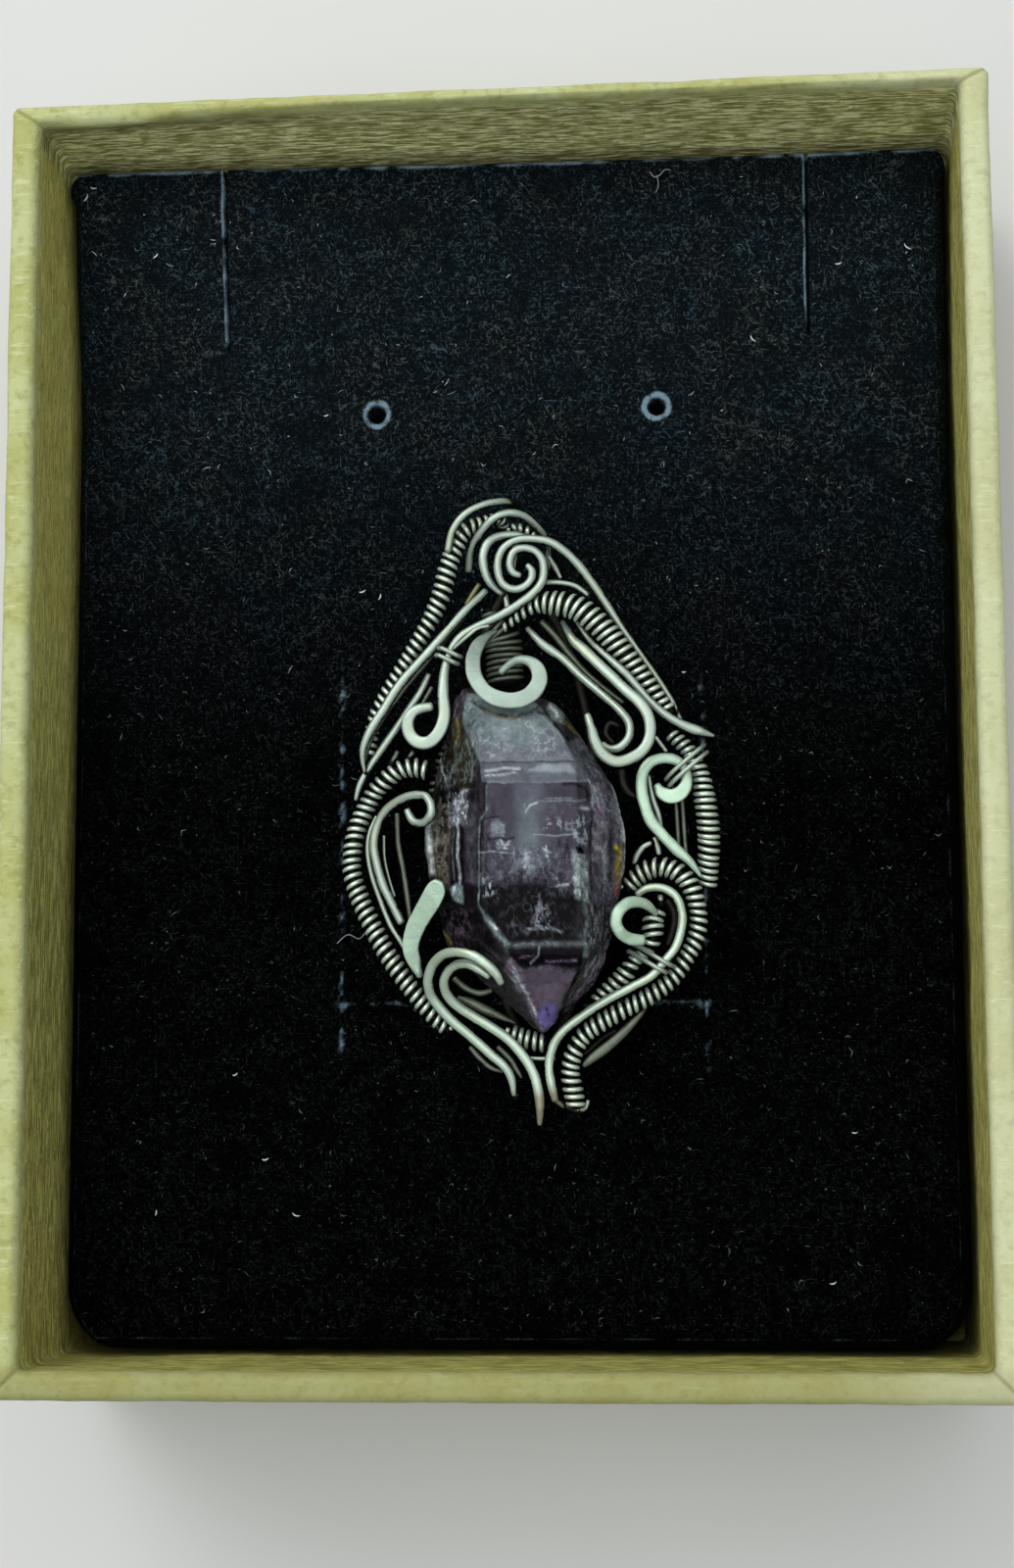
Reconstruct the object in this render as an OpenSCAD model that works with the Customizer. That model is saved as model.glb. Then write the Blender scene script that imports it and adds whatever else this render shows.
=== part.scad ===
// Wire-wrapped amethyst point lying on the flocked foam pad of a kraft card tray.
// +Z is up, +Y points to the bail and +X to the right-hand wires. The origin is
// the middle of the tray's underside. Heights in the route tables count from
// the pad's face.

/* [Tray] */
// Outside width of the tray
tray_w = 69; // [64:0.5:90]
// Outside length of the tray
tray_l = 90.5; // [86:0.5:120]
// Height of the tray
tray_h = 26; // [20:0.5:40]
// Thickness of the lined card walls
wall_t = 2; // [1:0.1:3]
// Thickness of the card floor
floor_t = 1.5; // [1:0.1:3]

/* [Foam pad] */
// Depth of the pad's face below the rim
pad_drop = 10; // [6:0.5:14]
// Clearance between the pad and the walls
pad_gap = 0.3; // [0.1:0.1:0.6]
// Radius of the worn lower corners of the pad
pad_lower_r = 4.5; // [1:0.5:8]
// Radius of the upper corners of the pad
pad_upper_r = 1.5; // [0.5:0.5:4]
// Width of the cuts in the pad
slit_w = 0.4; // [0.2:0.1:0.8]
// Depth of the cuts in the pad
slit_depth = 5; // [2:0.5:8]
// Diameter of the holes for ear posts
post_hole_d = 1.6; // [1:0.1:3]
// Distance from the pad's middle line to the left hole
post_hole_left = 9.5; // [5:0.5:15]
// Distance from the pad's middle line to the right hole
post_hole_right = 11; // [5:0.5:15]
// Distance of both holes above the tray's middle
post_hole_y = 24.6; // [20:0.2:30]

/* [Wire] */
// Diameter of the main wire
wire_d = 0.65; // [0.5:0.05:0.7]
// Diameter of the fine wire that coils and binds
fine_d = 0.32; // [0.2:0.02:0.36]
// Distance between turns of a coil
coil_pitch = 0.58; // [0.5:0.02:0.8]
// Longest step between two rings of a plain wire
ring_step = 0.75; // [0.5:0.05:1.2]

/* [Fit] */
// Gap under the pad
seat_gap = 0.05; // [0.02:0.01:0.2]

/* [Hidden] */
$fn = 48;
pad_top = tray_h - pad_drop;
pendant_at = [-0.1, -0.15, pad_top];
overcut = 1;
wire_sides = 6;
coil_sides = 7;
curve_steps = 6;
belt_step = 30;
silver = "silver";
dark_silver = "dimgray";

// Corners of the crystal: x, y, height
crystal_corners = [
    [-3.1, 3.1, 5.6], [-2.2, 3.4, 7.0], [2.4, 2.5, 7.4], [4.0, 2.2, 6.6], [4.8, 1.2, 5.6],
    [3.2, 2.0, 2.8], [-1.8, 2.9, 2.6], [-2.8, 0.7, 7.0], [-0.4, -2.8, 11.1], [5.8, -2.8, 11.1],
    [-3.4, 0, 6], [-4.1, -2.6, 6.2], [-5.2, -6.8, 6.4], [-5.1, -9, 6.4], [-4.4, -12, 6.4],
    [-3.6, -14.9, 6.3], [6.4, -1.4, 6], [8.1, -4, 6.2], [8.8, -7, 6.3], [8.8, -9.2, 6.3],
    [8, -13.2, 6.3], [7.2, -16.2, 6.2], [6.5, -17.5, 6], [0.1, -15.3, 10.9], [1.2, -16.6, 10.2],
    [6, -15.8, 10.6], [5.4, -17.2, 9.6], [-1.4, -1.5, 1.3], [4.8, -2, 1.3], [-1.8, -9, 1.2],
    [5.4, -9, 1.2], [-0.8, -15.5, 1.6], [5, -16, 1.6], [3, -20.8, 5.2], [2.6, -20.7, 5.6]
];

// Wire and coil routes, a row for each bend: x, y, height, width
bail_wire_outer_route = [
    [-3.55, 13.2, 5.4], [-3.2, 14.6, 5.6], [-2.3, 15.7, 5.7], [-1, 16.4, 5.5], [0.3, 16.75, 4.9],
    [0.95, 16.7, 3.9], [1.15, 16.3, 2.6], [1.05, 15.5, 1.5], [0.8, 14, 1.1], [0.6, 12.4, 1.1]
];
bail_wire_inner_route = [
    [-2.3, 12.2, 3.3], [-2.05, 13.4, 4.1], [-1.4, 14.35, 4.9], [-0.4, 15.35, 5.4], [0.8, 15.8, 5.3],
    [1.9, 15.6, 4.8], [2.8, 14.9, 4], [3.3, 14.2, 2.9], [3.3, 13.4, 1.9], [3, 12.4, 1.3],
    [2.5, 11.2, 1.1]
];
bail_coil_route = [
    [0.6, 15.05, 3.7, 0.55], [1.2, 15.1, 3.9, 0.6], [1.75, 14.9, 4, 0.65], [2.2, 14.55, 3.9, 0.65],
    [2.45, 14.2, 3.7, 0.6]
];
inner_arc_route = [
    [2.2, 14.05, 4.7, 0.4], [1.2, 14.3, 4.8, 0.6], [0.1, 14.2, 5, 0.65], [-0.7, 13.7, 5.3, 0.7],
    [-1.05, 12.8, 5.4, 0.7], [-1, 11.9, 5.4, 0.68], [-0.7, 11, 5.3, 0.6], [-0.2, 10.4, 5.1, 0.5],
    [0.2, 10.1, 5, 0.4]
];
spiral_right_route = [
    [2.1, 11.9, 5.8, 0.45], [2.4, 11.5, 5.8, 0.6], [2.35, 10.9, 5.8, 0.62], [1.9, 10.4, 5.8, 0.62],
    [1.2, 10.2, 5.8, 0.62], [0.55, 10.45, 5.8, 0.62], [0.15, 11, 5.8, 0.62], [0, 11.8, 5.8, 0.62],
    [0.1, 12.6, 5.8, 0.6], [0.55, 13.3, 5.8, 0.6], [1.4, 13.75, 5.8, 0.6], [2.4, 13.8, 5.8, 0.6],
    [3.5, 13.6, 5.8, 0.62], [4.4, 13.1, 5.7, 0.65], [5.5, 12.1, 5.4, 0.65], [6.5, 10.8, 5.1, 0.62],
    [7.5, 9.3, 4.8, 0.58], [8.5, 7.7, 4.5, 0.5], [9.8, 5.8, 4.2, 0.42], [11.1, 3.9, 3.9, 0.4],
    [12.1, 2.2, 3.8, 0.4], [12.7, 0.7, 3.8, 0.36]
];
spiral_left_route = [
    [1.55, 11.2, 5.8, 0.45], [1.1, 11.4, 5.8, 0.58], [0.85, 11.95, 5.8, 0.6], [1, 12.7, 5.8, 0.6],
    [1.45, 13.1, 5.8, 0.6], [2.15, 13.1, 5.8, 0.6], [2.75, 12.8, 5.8, 0.62], [3.15, 12.2, 5.8, 0.65],
    [3.25, 11.4, 5.8, 0.65], [3.05, 10.6, 5.8, 0.65], [2.4, 9.8, 5.9, 0.65], [1.3, 9, 6, 0.65],
    [0.1, 8.3, 6, 0.65], [-1.3, 7.65, 6, 0.65], [-2.4, 7.05, 6, 0.62], [-3.1, 6.3, 6, 0.6],
    [-3.5, 5.4, 6, 0.6], [-3.75, 4.3, 6.1, 0.7], [-3.8, 2.8, 6.3, 0.8], [-3.7, 1.5, 6.4, 0.85],
    [-3.85, 0.6, 6.5, 0.88], [-4.3, -0.2, 6.5, 0.9], [-4.95, -0.6, 6.4, 0.9], [-5.7, -0.45, 6.3, 0.9],
    [-6.2, 0.15, 6.2, 0.88], [-6.3, 0.95, 6.2, 0.85], [-5.95, 1.55, 6.2, 0.8], [-5.4, 1.85, 6.2, 0.75],
    [-4.65, 1.95, 6.2, 0.7]
];
left_coil_route = [
    [0.2, 15.5, 1.9, 0.8], [-0.2, 15.9, 3, 0.85], [-1.2, 15.5, 4, 0.95], [-2.4, 14.8, 4.5, 1.15],
    [-3.2, 13.4, 4.5, 1.35], [-3.7, 12, 4.5, 1.45], [-4.1, 10.3, 4.5, 1.45], [-4.6, 9.1, 4.4, 1.35],
    [-5.2, 7.9, 4.4, 1.25], [-6.7, 5.4, 4.3, 1.2], [-8.2, 3, 4.1, 1.15], [-8.85, 1.7, 3.9, 1.1],
    [-9.2, 0.4, 3.8, 1], [-9.3, -1.2, 3.7, 0.9]
];
left_strand_route = [
    [-1, 10.4, 4.4, 0.55], [-2.4, 8.9, 5, 0.65], [-3.9, 7.1, 5.4, 0.66], [-5.4, 5.4, 5.6, 0.66],
    [-6.9, 3.7, 5.7, 0.68], [-8.1, 1.8, 5.8, 0.68], [-9, 0.4, 5.8, 0.66], [-9.55, -1, 5.7, 0.5],
    [-9.45, -2.4, 5.4, 0.25]
];
left_strand_under_route = [
    [-2.5, 8.6, 4.4, 0.35], [-3.9, 6.85, 4.8, 0.42], [-5.3, 5.15, 5, 0.44], [-6.6, 3.6, 5.1, 0.44],
    [-7.9, 1.8, 5.2, 0.42], [-8.8, 0.4, 5.2, 0.4], [-9.35, -0.9, 5.1, 0.35], [-9.55, -2, 4.9, 0.25]
];
centre_coil_route = [
    [-0.9, 9.3, 3.5, 1.2], [-0.7, 8.3, 3.5, 1.3], [0.1, 7.2, 3.4, 2.6], [0.2, 5.6, 3.4, 2.7],
    [0.3, 4, 3.4, 2.7]
];
centre_hook_route = [
    [-0.3, 7.4, 5.1, 0.4], [-1.1, 6.5, 6.4, 0.8], [-1.5, 5.5, 7.3, 1], [-1.55, 4.5, 7.9, 1.05],
    [-1.35, 3.6, 8.3, 1.05], [-0.7, 2.6, 8.7, 1.05], [0.2, 2, 9, 1.1], [1.3, 1.8, 9.2, 1.1],
    [2.3, 2.05, 9.2, 1.1], [2.95, 2.7, 9.1, 1.1], [3.15, 3.4, 9, 1.05], [2.95, 4.1, 8.8, 0.95],
    [2.4, 4.6, 8.5, 0.75], [1.7, 4.75, 8.3, 0.65], [1, 4.5, 8.1, 0.55], [0.4, 4, 7.9, 0.5]
];
left_cross_wire_route = [
    [-5.05, 4.5, 4.5, 0.45], [-5.65, 3.2, 4.6, 0.55], [-6.5, 1.9, 4.7, 0.58], [-7.35, 0.6, 4.8, 0.58],
    [-8.4, -0.9, 4.9, 0.55], [-9.25, -2.2, 5, 0.5], [-9.85, -3.3, 5, 0.45], [-10.15, -4.3, 4.9, 0.3]
];
left_side_coil_route = [
    [-5.15, -2.3, 4.5, 1.4], [-6.05, -2.05, 4.4, 1.4], [-7.15, -2.2, 4.3, 1.4], [-8.15, -2.9, 4.1, 1.4],
    [-8.95, -3.7, 3.8, 1.35], [-9.65, -4.9, 3.7, 1.4], [-10.25, -6.4, 3.9, 1.4], [-10.5, -8, 4.1, 1.4],
    [-10.45, -9.6, 4.2, 1.4], [-9.85, -11.4, 4.3, 1.4], [-9.05, -13.1, 4.4, 1.4],
    [-8.15, -14.8, 4.5, 1.4], [-7.05, -16.5, 4.5, 1.35], [-5.95, -18, 4.4, 1.3],
    [-4.85, -19.4, 4.2, 1.2], [-3.75, -20.4, 3.9, 1.1]
];
left_curl_route = [
    [-6.2, -5.4, 7.3, 0.5], [-5.9, -6, 7.4, 0.62], [-5.5, -6.3, 7.6, 0.65], [-4.95, -6.3, 7.9, 0.65],
    [-4.5, -5.9, 8.2, 0.66], [-4.4, -5.4, 8.2, 0.66], [-4.6, -4.8, 8, 0.66], [-5.1, -4.4, 7.7, 0.66],
    [-6.4, -4.5, 7.1, 0.66], [-7.7, -5.2, 6.5, 0.66], [-8.45, -6.3, 6.1, 0.66], [-8.7, -7.6, 6, 0.66],
    [-8.5, -8.9, 6, 0.66], [-8.1, -10.3, 6, 0.66], [-7.5, -11.6, 6, 0.64], [-6.8, -13, 5.9, 0.6]
];
left_companion_route = [
    [-8.6, -5.6, 5.4, 0.3], [-9.1, -6.8, 5.4, 0.36], [-9.2, -8.1, 5.4, 0.36], [-8.95, -9.6, 5.4, 0.36],
    [-8.3, -11.5, 5.4, 0.36], [-7.6, -13.2, 5.4, 0.36], [-6.8, -14.5, 5.4, 0.34],
    [-5.6, -16.7, 5.1, 0.25]
];
left_back_wire_route = [
    [-7.2, -5.4, 5, 0.4], [-7.15, -7.4, 4.8, 0.42], [-6.8, -9.4, 4.7, 0.42], [-6.5, -11.4, 4.7, 0.42],
    [-6.3, -13, 4.8, 0.35]
];
paddle_route = [
    [-3.85, -10.5, 8.6, 0.8], [-4.05, -10.9, 8.5, 1.3], [-4.35, -11.5, 8.3, 1.45],
    [-4.9, -12.3, 7.9, 1.4], [-5.5, -13.2, 7.4, 1.3], [-5.9, -14.1, 7, 1.2], [-6.05, -14.9, 6.7, 1.1],
    [-5.85, -15.8, 6.3, 0.9], [-5.5, -16.7, 5.9, 0.5]
];
bottom_scroll_outer_route = [
    [0.4, -17.4, 9.2, 0.5], [0.1, -16.8, 9.5, 0.7], [-0.5, -16.2, 9.7, 0.72], [-1.4, -15.6, 9.6, 0.72],
    [-2.5, -15.3, 9.1, 0.72], [-3.5, -15.4, 8.4, 0.72], [-4.3, -15.9, 7.6, 0.72],
    [-4.75, -16.7, 7, 0.72], [-4.85, -17.5, 6.5, 0.72], [-4.6, -18.3, 6, 0.72],
    [-3.5, -19.65, 5.5, 0.72], [-2, -20.95, 5.1, 0.7], [-0.8, -22.05, 4.9, 0.7],
    [0.2, -22.95, 4.7, 0.65], [0.65, -23.8, 4.5, 0.6], [0.8, -24.9, 4.3, 0.35]
];
bottom_scroll_inner_route = [
    [-0.5, -16.9, 8.5, 0.55], [-1.2, -16.4, 8.5, 0.68], [-2, -16.05, 8.2, 0.7], [-2.8, -16.1, 7.7, 0.7],
    [-3.4, -16.5, 7.2, 0.7], [-3.75, -17.2, 6.7, 0.7], [-3.6, -18, 6.2, 0.72], [-3, -18.75, 5.8, 0.72],
    [-1.9, -19.5, 5.4, 0.72], [-0.6, -20.3, 5.2, 0.72], [0.5, -21.1, 5, 0.72], [1.4, -22.1, 4.9, 0.72],
    [2.1, -23.2, 4.8, 0.72], [2.45, -24.3, 4.7, 0.72], [2.6, -25.6, 4.5, 0.68], [2.55, -26.9, 4.2, 0.35]
];
bottom_point_route = [
    [-3, -18.2, 4.6, 0.3], [-2.2, -18.5, 4.6, 0.5], [-1, -19.1, 4.6, 0.55], [0.1, -19.6, 4.5, 0.45],
    [0.9, -19.95, 4.4, 0.15]
];
bottom_coil_route = [
    [0.3, -20.5, 3.5, 1.25], [1.2, -20.9, 3.5, 1.4], [2.1, -21.2, 3.5, 1.4], [3, -21.4, 3.5, 1.3]
];
tail_tie_route = [
    [1.2, -22.3, 4.1, 0.3], [2.4, -22.4, 4.2, 0.32], [3.6, -22.4, 4.2, 0.3]
];
right_shoulder_coil_route = [
    [0.3, 7.7, 4.6, 0.6], [1.3, 8.4, 4.8, 0.7], [2.3, 9, 5, 1], [3.2, 9.3, 5.2, 1.6],
    [4.3, 9.2, 5.3, 1.85], [5.2, 9, 5.4, 1.85], [6.2, 8.4, 5.4, 1.85], [7.3, 7.4, 5.3, 1.8],
    [8.4, 6.1, 5.2, 1.75], [9.4, 4.85, 5, 1.6], [10.4, 3.5, 4.8, 1.4], [11.3, 2.3, 4.6, 1.25],
    [12, 1.5, 4.5, 1.1]
];
shoulder_wire_route = [
    [3.2, 10.9, 4.6, 0.4], [4.4, 10.85, 4.6, 0.42], [5.4, 10.6, 4.5, 0.42], [6.2, 10, 4.4, 0.4]
];
shoulder_back_wire_route = [
    [2.9, 8.3, 3.6, 0.5], [3.9, 7.2, 3.4, 0.55], [4.8, 6, 3.4, 0.5], [6, 4.6, 3.6, 0.42],
    [7.4, 3.3, 4, 0.4], [8.6, 2.3, 4.3, 0.35]
];
right_long_route = [
    [5.3, 8.3, 4.1, 0.3], [6.25, 6.85, 4.6, 0.4], [7.1, 5.85, 5.3, 0.5], [8.35, 4.6, 5.9, 0.58],
    [9.05, 3.9, 6, 0.6], [9.7, 3.1, 6, 0.6], [10.5, 2.15, 6, 0.6], [11.5, 1.2, 6, 0.62],
    [12.7, 0.45, 5.9, 0.68], [13.8, 0, 5.8, 0.7], [14.9, -0.35, 5.6, 0.2]
];
right_scroll_outer_route = [
    [4.4, 8.2, 3.8, 0.4], [5.15, 6.8, 4.5, 0.7], [5.95, 5.95, 5, 0.78], [7.4, 4.4, 5.8, 0.78],
    [8.8, 2.9, 6.6, 0.78], [10, 1.7, 7, 0.8], [10.55, 0.55, 7.2, 0.8], [10.5, -0.75, 7.3, 0.8],
    [9.8, -1.75, 7.4, 0.8], [8.4, -2.3, 7.5, 0.8], [7.4, -1.85, 7.6, 0.8], [6.85, -0.95, 7.7, 0.78],
    [6.6, -0.05, 7.7, 0.7], [6.3, 0.95, 7.6, 0.5]
];
right_scroll_inner_route = [
    [1.9, 7.8, 3.8, 0.4], [3, 6.6, 4, 0.7], [4.4, 5.5, 4.2, 0.68], [5.75, 4.1, 4.6, 0.65],
    [7.2, 2.75, 5.2, 0.65], [8.45, 1.5, 5.8, 0.65], [9.1, 0.55, 6, 0.65], [9.05, -0.45, 6.1, 0.65],
    [8.45, -1.1, 6.1, 0.65], [7.75, -1.2, 6, 0.6], [7.25, -0.85, 5.9, 0.5]
];
ring_scroll_route = [
    [10.95, -3.7, 5.2, 0.6], [11.25, -4.25, 5.3, 0.75], [11.85, -4.6, 5.4, 0.78],
    [12.45, -4.4, 5.4, 0.78], [12.9, -3.8, 5.3, 0.78], [13, -3.1, 5.3, 0.75], [12.75, -2.4, 5.3, 0.72],
    [12.15, -1.95, 5.4, 0.75], [11.25, -1.85, 5.5, 0.78], [10.45, -2.2, 5.6, 0.78], [9.95, -3, 5.7, 0.8],
    [9.9, -4.1, 5.7, 0.8], [10.15, -5.3, 5.7, 0.8], [10.55, -6.3, 5.6, 0.8], [11.45, -7.35, 5.5, 0.78],
    [12.35, -8.3, 5.4, 0.75], [13.15, -9.05, 5.3, 0.6], [13.85, -10, 5.1, 0.25]
];
right_side_coil_route = [
    [11.9, 0, 4, 1], [12.5, -0.5, 4.1, 1.15], [13.1, -1.1, 4.1, 1.15], [13.6, -2, 4.1, 1.15],
    [13.95, -2.9, 4.1, 1.35], [14.15, -4.2, 4.1, 1.55], [14.35, -5.7, 4, 1.6], [14.45, -7.2, 3.7, 1.6],
    [14.4, -8.8, 3.3, 1.55], [14.3, -10.4, 2.8, 1.4]
];
twin_wire_left_route = [
    [12, -3.6, 3.5, 0.35], [12.2, -5, 3.3, 0.35], [12.3, -7, 3.3, 0.35], [12.4, -8.4, 3.4, 0.35]
];
twin_wire_right_route = [
    [12.5, -3.6, 3.5, 0.35], [12.65, -5, 3.3, 0.35], [12.75, -7, 3.3, 0.35], [12.85, -8.6, 3.4, 0.35]
];
right_lower_coil_route = [
    [8.75, -10.9, 4.2, 1.2], [9.3, -10.1, 4.3, 1.4], [10.4, -9.4, 4.4, 1.45], [11.5, -9.35, 4.5, 1.45],
    [12.6, -9.95, 4.6, 1.4], [13.3, -11, 4.6, 1.35], [13.65, -12.4, 4.5, 1.3], [13.55, -14, 4.4, 1.3],
    [12.9, -15.4, 4.4, 1.25], [11.8, -17, 4.4, 1.25], [10.3, -18.15, 4.4, 1.3], [8.5, -19.05, 4.4, 1.3],
    [6.8, -20, 4.4, 1.35], [5.6, -20.9, 4.3, 1.3], [4.85, -22.3, 4.2, 1.3], [4.7, -23.6, 4.1, 1.4],
    [4.9, -24.8, 4, 1.45], [5.05, -25.7, 3.9, 1.4]
];
coil_stem_route = [
    [9.3, -9, 4.3, 0.34], [9.45, -8.5, 4.4, 0.36], [9.9, -7.9, 4.5, 0.36], [10.5, -7.6, 4.5, 0.34]
];
coil_stem_short_route = [
    [10.7, -7.3, 4.6, 0.38], [10.9, -7.9, 4.6, 0.4], [11, -8.4, 4.6, 0.38]
];
heart_wire_route = [
    [9.5, -11.25, 5.6, 0.5], [10.25, -10.85, 5.7, 0.6], [11.25, -10.85, 5.7, 0.62],
    [12.15, -11.45, 5.7, 0.64], [12.55, -12.55, 5.6, 0.64], [12.5, -13.65, 5.6, 0.64],
    [12.05, -14.95, 5.6, 0.64], [11.25, -15.95, 5.6, 0.64], [10.35, -16.9, 5.6, 0.64],
    [8.95, -17.65, 5.6, 0.64], [7.2, -18.55, 5.6, 0.64], [5.75, -19.45, 5.5, 0.64],
    [4.55, -20.35, 5.4, 0.64], [3.75, -21.25, 5.2, 0.64], [3.35, -22.35, 5, 0.66],
    [3.3, -23.35, 4.9, 0.66], [3.45, -24.25, 4.8, 0.64], [3.65, -25.25, 4.6, 0.5]
];
right_c_hook_route = [
    [10.75, -12.6, 6, 0.5], [10.2, -12.1, 6.7, 0.7], [9.5, -11.9, 7.2, 0.8], [8.85, -12.05, 7.6, 0.82],
    [8.3, -12.6, 7.9, 0.82], [8.1, -13.3, 7.9, 0.82], [8.4, -14, 7.7, 0.82], [9, -14.4, 7.3, 0.84],
    [9.9, -14.5, 6.9, 0.76]
];
right_inner_coil_route = [
    [10.9, -12.3, 4.6, 1.3], [10.55, -13, 4.7, 1.55], [10.5, -13.8, 4.8, 1.55], [10.4, -14.5, 4.8, 1.3],
    [9.9, -15.2, 4.7, 0.95], [9.2, -15.8, 4.6, 1.05], [8.7, -16.5, 4.6, 1.4], [8, -17.2, 4.5, 1.3],
    [7.2, -17.8, 4.4, 1.1], [6.4, -18.5, 4.3, 0.8]
];
tail_chord_route = [
    [9.85, -18.9, 3.8, 0.3], [8.75, -20.4, 3.8, 0.45], [7.45, -21.7, 3.8, 0.5], [6.25, -22.5, 3.8, 0.48],
    [5.75, -22.8, 3.8, 0.4]
];
tail_chord_thin_route = [
    [7.8, -20.5, 3.2, 0.3], [6.9, -21, 3.1, 0.3], [6.1, -21.7, 3.1, 0.3], [5.6, -22.1, 3.1, 0.28]
];
back_wire_left_route = [
    [0.3, 11.6, 0.6], [-1.5, 8, 0.5], [-2.4, 3, 0.5], [-2.6, -4, 0.5], [-2, -11, 0.5], [-0.5, -17, 0.7],
    [1, -20.5, 1.6], [1.4, -21.3, 2.1]
];
back_wire_right_route = [
    [2.6, 10.7, 0.6], [4.5, 7, 0.5], [6, 1, 0.5], [6.5, -6, 0.5], [6, -13, 0.5], [4.6, -18.5, 0.8],
    [3.3, -21.2, 2.1]
];

// Bindings: middle and radius of the left and right ends of a loop, and its step for each turn
left_binding_ends = [[-3.65, 5.8, 5.95], 0.56, [-3.15, 5.5, 5.95], 0.56];
left_binding_lead = [-0.2, -0.5, 0];
right_binding_ends = [[12.3, -2.7, 4.8], 0.95, [13.25, -1.95, 4.65], 1.37];
right_binding_lead = [0.2, -0.5, 0];
heart_binding_ends = [[9.85, -15.25, 4.7], 0.84, [11.1, -16.1, 5.6], 0.6];
heart_binding_lead = [-0.42, -0.45, 0];
binding_turns = 1.8;

function unit(v) = v / norm(v);
function place(row) = [row[0], row[1], row[2]];
// Rows of a plain wire get the main wire's width
function with_width(rows, w) = [for (r = rows) [r[0], r[1], r[2], w]];
// Hammering spreads the wire: its section keeps its area
function thickness(w) = w > wire_d ? wire_d * wire_d / w : w;
// Curve through the rows b and c, with a and d as the rows beside them
function blend(a, b, c, d, t) =
    0.5 * (2 * b + (c - a) * t + (2 * a - 5 * b + 4 * c - d) * t * t + (3 * b - a - 3 * c + d) * t * t * t);
function curve(rows) = let (last = len(rows) - 1) concat(
    [for (i = [0:last - 1], k = [0:curve_steps - 1])
        blend(rows[max(i - 1, 0)], rows[i], rows[i + 1], rows[min(i + 2, last)], k / curve_steps)],
    [rows[last]]);
// Length along the path up to each row
function lengths(path) = [
    for (i = 0, s = 0; i < len(path);
        s = s + (i + 1 < len(path) ? norm(place(path[i + 1]) - place(path[i])) : 0), i = i + 1) s
];
// Rows at even steps along the path, each no longer than step
function even(path, step) =
    let (s = lengths(path), far = s[len(s) - 1], count = ceil(far / step),
        columns = [for (c = [0:3]) [for (i = [0:len(path) - 1]) [s[i], path[i][c]]]])
    [for (k = [0:count]) [for (c = [0:3]) lookup(far * k / count, columns[c])]];
function tangents(path) = [
    for (i = [0:len(path) - 1])
        unit(place(path[min(i + 1, len(path) - 1)]) - place(path[max(i - 1, 0)]))
];
// Sideways direction of each ring, carried along without twist
function carry(side, t) = unit(side - t * (side * t));
function sides_along(t) = [
    for (i = 0, s = carry(cross([0, 0, 1], t[0]), t[0]); i < len(t);
        i = i + 1, s = i < len(t) ? carry(s, t[i]) : s) s
];

// Tube along the path; thick lists the height of each ring's section
module tube(path, thick, sides) {
    t = tangents(path);
    s = sides_along(t);
    rings = len(path);
    points = [
        for (i = [0:rings - 1], j = [0:sides - 1])
            let (a = 360 * (j + 0.5) / sides)
            place(path[i]) + s[i] * cos(a) * path[i][3] / 2 + cross(t[i], s[i]) * sin(a) * thick[i] / 2
    ];
    walls = [
        for (i = [0:rings - 2], j = [0:sides - 1])
            let (k = (j + 1) % sides)
            [i * sides + j, (i + 1) * sides + j, (i + 1) * sides + k, i * sides + k]
    ];
    start = [for (j = [0:sides - 1]) j];
    end = [for (j = [sides - 1:-1:0]) (rings - 1) * sides + j];
    translate(pendant_at) polyhedron(points = points, faces = concat(walls, [start, end]));
}

module wire(rows) {
    path = even(curve(rows), ring_step);
    tube(path, [for (r = path) thickness(r[3])], wire_sides);
}

// Close coil on a core: the rings stand alternately on a turn and between two
module coil(rows, flatness = 1) {
    path = even(curve(rows), coil_pitch / 2);
    turned = [
        for (i = [0:len(path) - 1])
            let (w = path[i][3] - fine_d * (i % 2)) [path[i][0], path[i][1], path[i][2], w]
    ];
    tube(turned, [for (i = [0:len(path) - 1]) path[i][3] * flatness - fine_d * (i % 2)], coil_sides);
}

// Fine wire wound as a belt round two parallel wires
module binding(ends, lead) {
    u = unit(ends[2] - ends[0]);
    up = unit(cross(u, unit(lead)));
    middle = (ends[0] + ends[2]) / 2;
    half = norm(ends[2] - ends[0]) / 2;
    path = [
        for (a = [-90:belt_step:360 * binding_turns - 90])
            let (w = max(-1, min(1, 2 * cos(a))),
                r = (ends[1] + ends[3]) / 2 + w * (ends[3] - ends[1]) / 2,
                p = middle + u * (w * half + r * cos(a)) - up * r * sin(a) + lead * (a / 360 - 0.5))
            [p[0], p[1], p[2], fine_d]
    ];
    tube(path, [for (p = path) fine_d], wire_sides);
}

module tray() {
    color("darkkhaki")
    difference() {
        translate([-tray_w / 2, -tray_l / 2, 0]) cube([tray_w, tray_l, tray_h]);
        translate([-tray_w / 2 + wall_t, -tray_l / 2 + wall_t, floor_t])
            cube([tray_w - 2 * wall_t, tray_l - 2 * wall_t, tray_h]);
    }
}

// Vertical cut in the pad's face, from one end to the other
module slit(x0, y0, x1, y1) {
    translate([min(x0, x1) - slit_w / 2, min(y0, y1) - slit_w / 2, pad_top - slit_depth])
        cube([abs(x1 - x0) + slit_w, abs(y1 - y0) + slit_w, slit_depth + overcut]);
}

// Outline with its own radius at the upper and the lower corners
module pad_outline(w, l) {
    difference() {
        square([w, l], center = true);
        for (side = [-1, 1]) {
            corner_cut(side * w / 2, -l / 2, side, -1, pad_lower_r);
            corner_cut(side * w / 2, l / 2, side, 1, pad_upper_r);
        }
    }
}

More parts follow.
